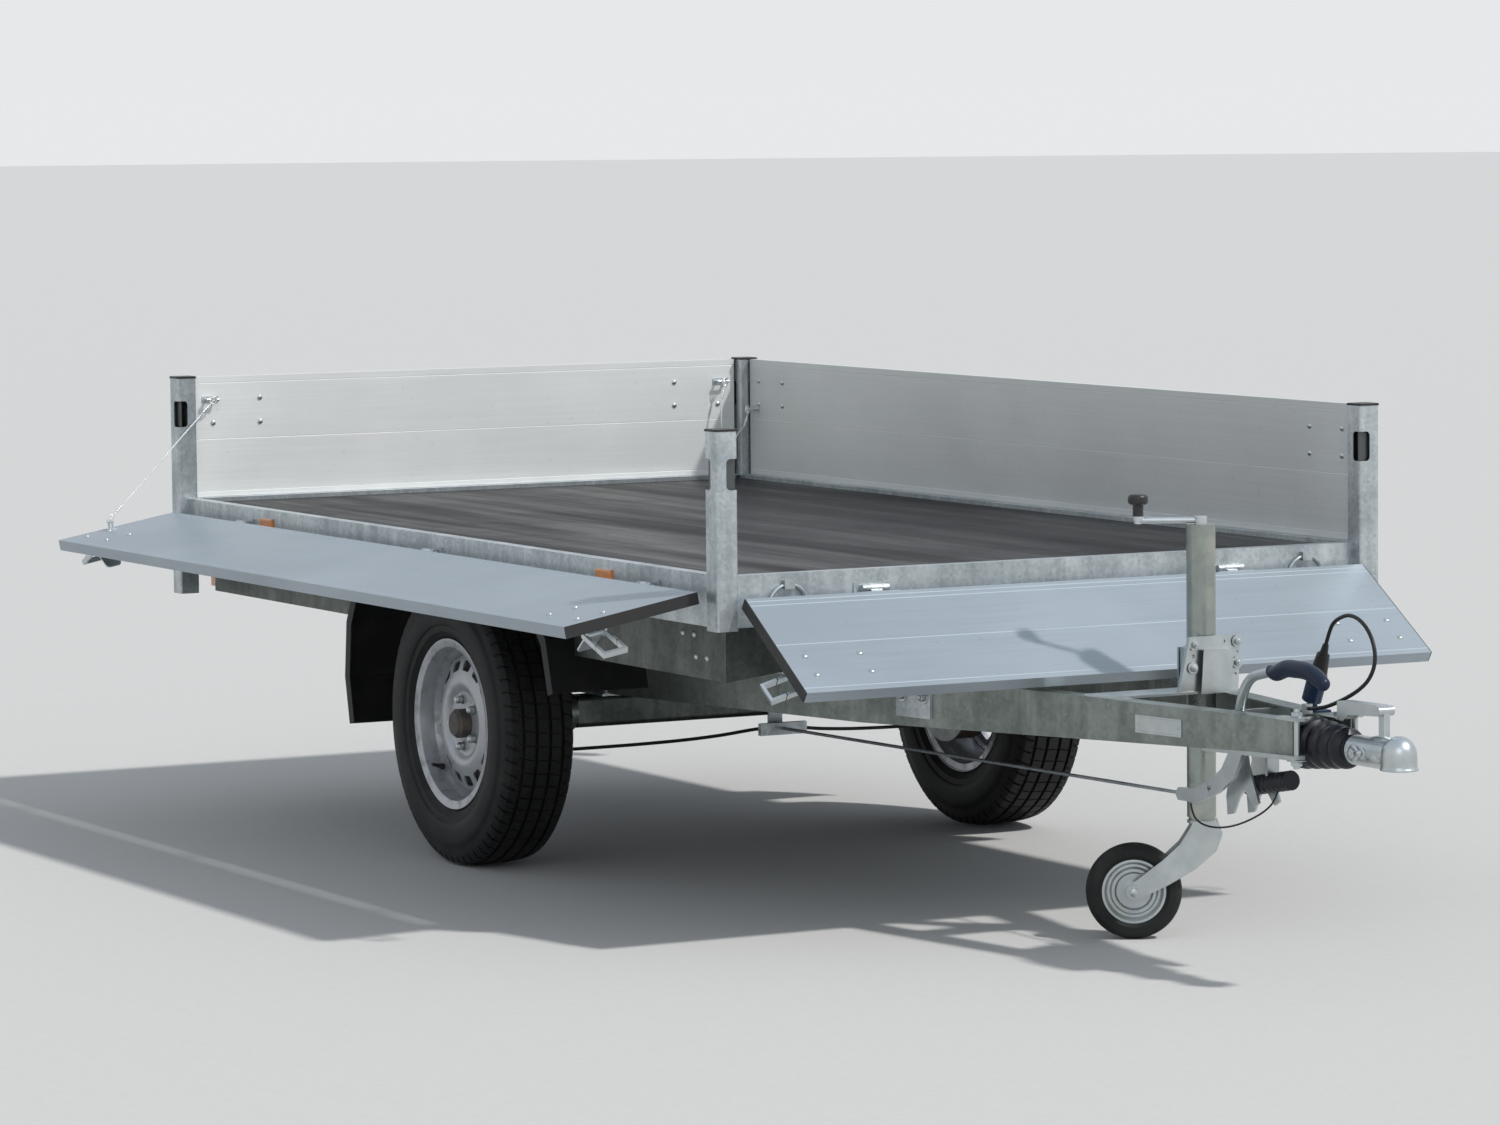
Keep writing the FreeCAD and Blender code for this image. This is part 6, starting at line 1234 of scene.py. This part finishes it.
def wire_rope(route, radius):
    line = evenly(line_of(route), LINE_STEP)
    parts = [strand(line, radius * 0.52, radius * 0.48, 2 * math.pi * k / STRANDS) for k in range(STRANDS)]
    near = min(SLEEVE_POINT, len(line) // 4)
    return join(parts + [ferrule(line, near), ferrule(line, len(line) - 1 - near)]), line


# %% [markdown]
# A wire rope ties each rear corner. The right one is taut and holds the open board, the left one hangs slack
# between the closed boards. The eye at a rope's rear end rides with the chassis, and the eye at its other end
# rides with the side board.

# %% Corner ropes
ROPE_RADIUS = 0.0022
RIGHT_ROPE = [RIGHT_ROPE_ENDS[0], (-4.0860, -0.7776, 0.4835), (-4.0785, -0.8372, 0.4270),
              (-4.0710, -0.8968, 0.3705), (-4.0635, -0.9564, 0.3140), RIGHT_ROPE_ENDS[1]]
start, end = (Vector(place) for place in LEFT_ROPE_ENDS)
LEFT_ROPE = [start, start + Vector((0.006, -0.012, -0.050)), start + Vector((0.010, -0.018, -0.110)),
             start + Vector((0.014, -0.008, -0.160)), start + Vector((0.016, 0.014, -0.172)),
             start + Vector((0.014, 0.026, -0.140)), end + Vector((0.002, -0.001, -0.034)), end]


def corner_rope(name, route, node, gate):
    rope, line = wire_rope(route, ROPE_RADIUS)
    deselect()
    rope.name = rope.data.name = name
    dress(rope, FINISHES["wire"])
    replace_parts(rope, node)
    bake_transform(rope)
    ends = ("rear", "chassis", line[0], line[4]), ("side", gate, line[-1], line[-5])
    for which, body, tip, inward in ends:
        way = inward - tip
        hand_over(rope_eye(tip + way * 0.3, way), name + "_eye_" + which, body, "wire")
    length_of(line)
    return round(length_of(line), 3)


print("ropes", corner_rope("right_corner_rope", RIGHT_ROPE, "right_cable", "right_gate"),
      corner_rope("left_corner_rope", LEFT_ROPE, "left_cable", "left_gate"))

# %% [markdown]
# The ground is a plain pale floor, wide enough to reach the horizon in every view. The world lights the
# trailer softly, and rays from the camera, from shiny surfaces and through glass see it at full strength. One
# sun gives the shadow, and a wide weak one from the camera's side opens the dark faces.

# %% Floor, world and lamps
GROUND_Z = -0.461
FLOOR_RADIUS, FLOOR_DROP = 160.0, 0.0008
SKY_STOPS = ((0.0, (0.80, 0.81, 0.82)), (0.7, (0.62, 0.69, 0.78)))
WORLD_TINT, WORLD_LEVEL = (0.86, 0.93, 1.0, 1), 0.45


def pale_floor():
    floor = primitive("circle", vertices=96, radius=FLOOR_RADIUS, fill_type="NGON",
                      location=(-2.0, 0.0, GROUND_Z - FLOOR_DROP))
    floor.name = "pale_floor"
    settle(floor)
    finish = Finish("pale_floor")
    grain = finish.noise(60.0, detail=3.0)
    dress(floor, finish.set(Base_Color=finish.mix(grain, (0.60, 0.60, 0.595), (0.66, 0.66, 0.655)),
                            Roughness=0.9))


def pale_world():
    world = bpy.data.worlds.new("pale_sky")
    bpy.context.scene.world = world
    world.use_nodes = True
    world.node_tree.nodes.clear()
    sky = Shading(world.node_tree)
    spot = sky.node("ShaderNodeTexCoord", output="Generated")
    height = sky.node("ShaderNodeSeparateXYZ", {}, {0: spot}, "Z")
    shade = sky.node("ShaderNodeValToRGB", {"stops": SKY_STOPS}, {0: height})
    lit = sky.node("ShaderNodeBackground", {}, {"Color": WORLD_TINT, "Strength": WORLD_LEVEL})
    seen = sky.node("ShaderNodeBackground", {}, {"Color": shade, "Strength": 1.0})
    camera, glossy, through = (sky.node("ShaderNodeLightPath", output="Is %s Ray" % kind)
                               for kind in ("Camera", "Glossy", "Transmission"))
    mixed = sky.node("ShaderNodeMixShader", {}, {0: camera.or_more(glossy).or_more(through), 1: lit, 2: seen})
    surface = world.node_tree.nodes.new("ShaderNodeOutputWorld").inputs["Surface"]
    world.node_tree.links.new(mixed.socket, surface)


def sun(name, direction, strength, angle_degrees, colour=(1, 1, 1)):
    data = bpy.data.lights.new(name, "SUN")
    data.energy = strength
    data.angle = math.radians(angle_degrees)
    data.color = colour
    linked(name, data).matrix_world = frame_along(direction)


pale_floor()
pale_world()
sun("key_sun", (0.55, 0.42, 0.80), 2.5, 3.0, (1.0, 0.975, 0.94))
sun("camera_fill", (0.80, -0.60, 0.55), 0.25, 30.0)
bpy.context.scene.view_settings.view_transform = "Standard"
print("lamps", len(bpy.data.lights))
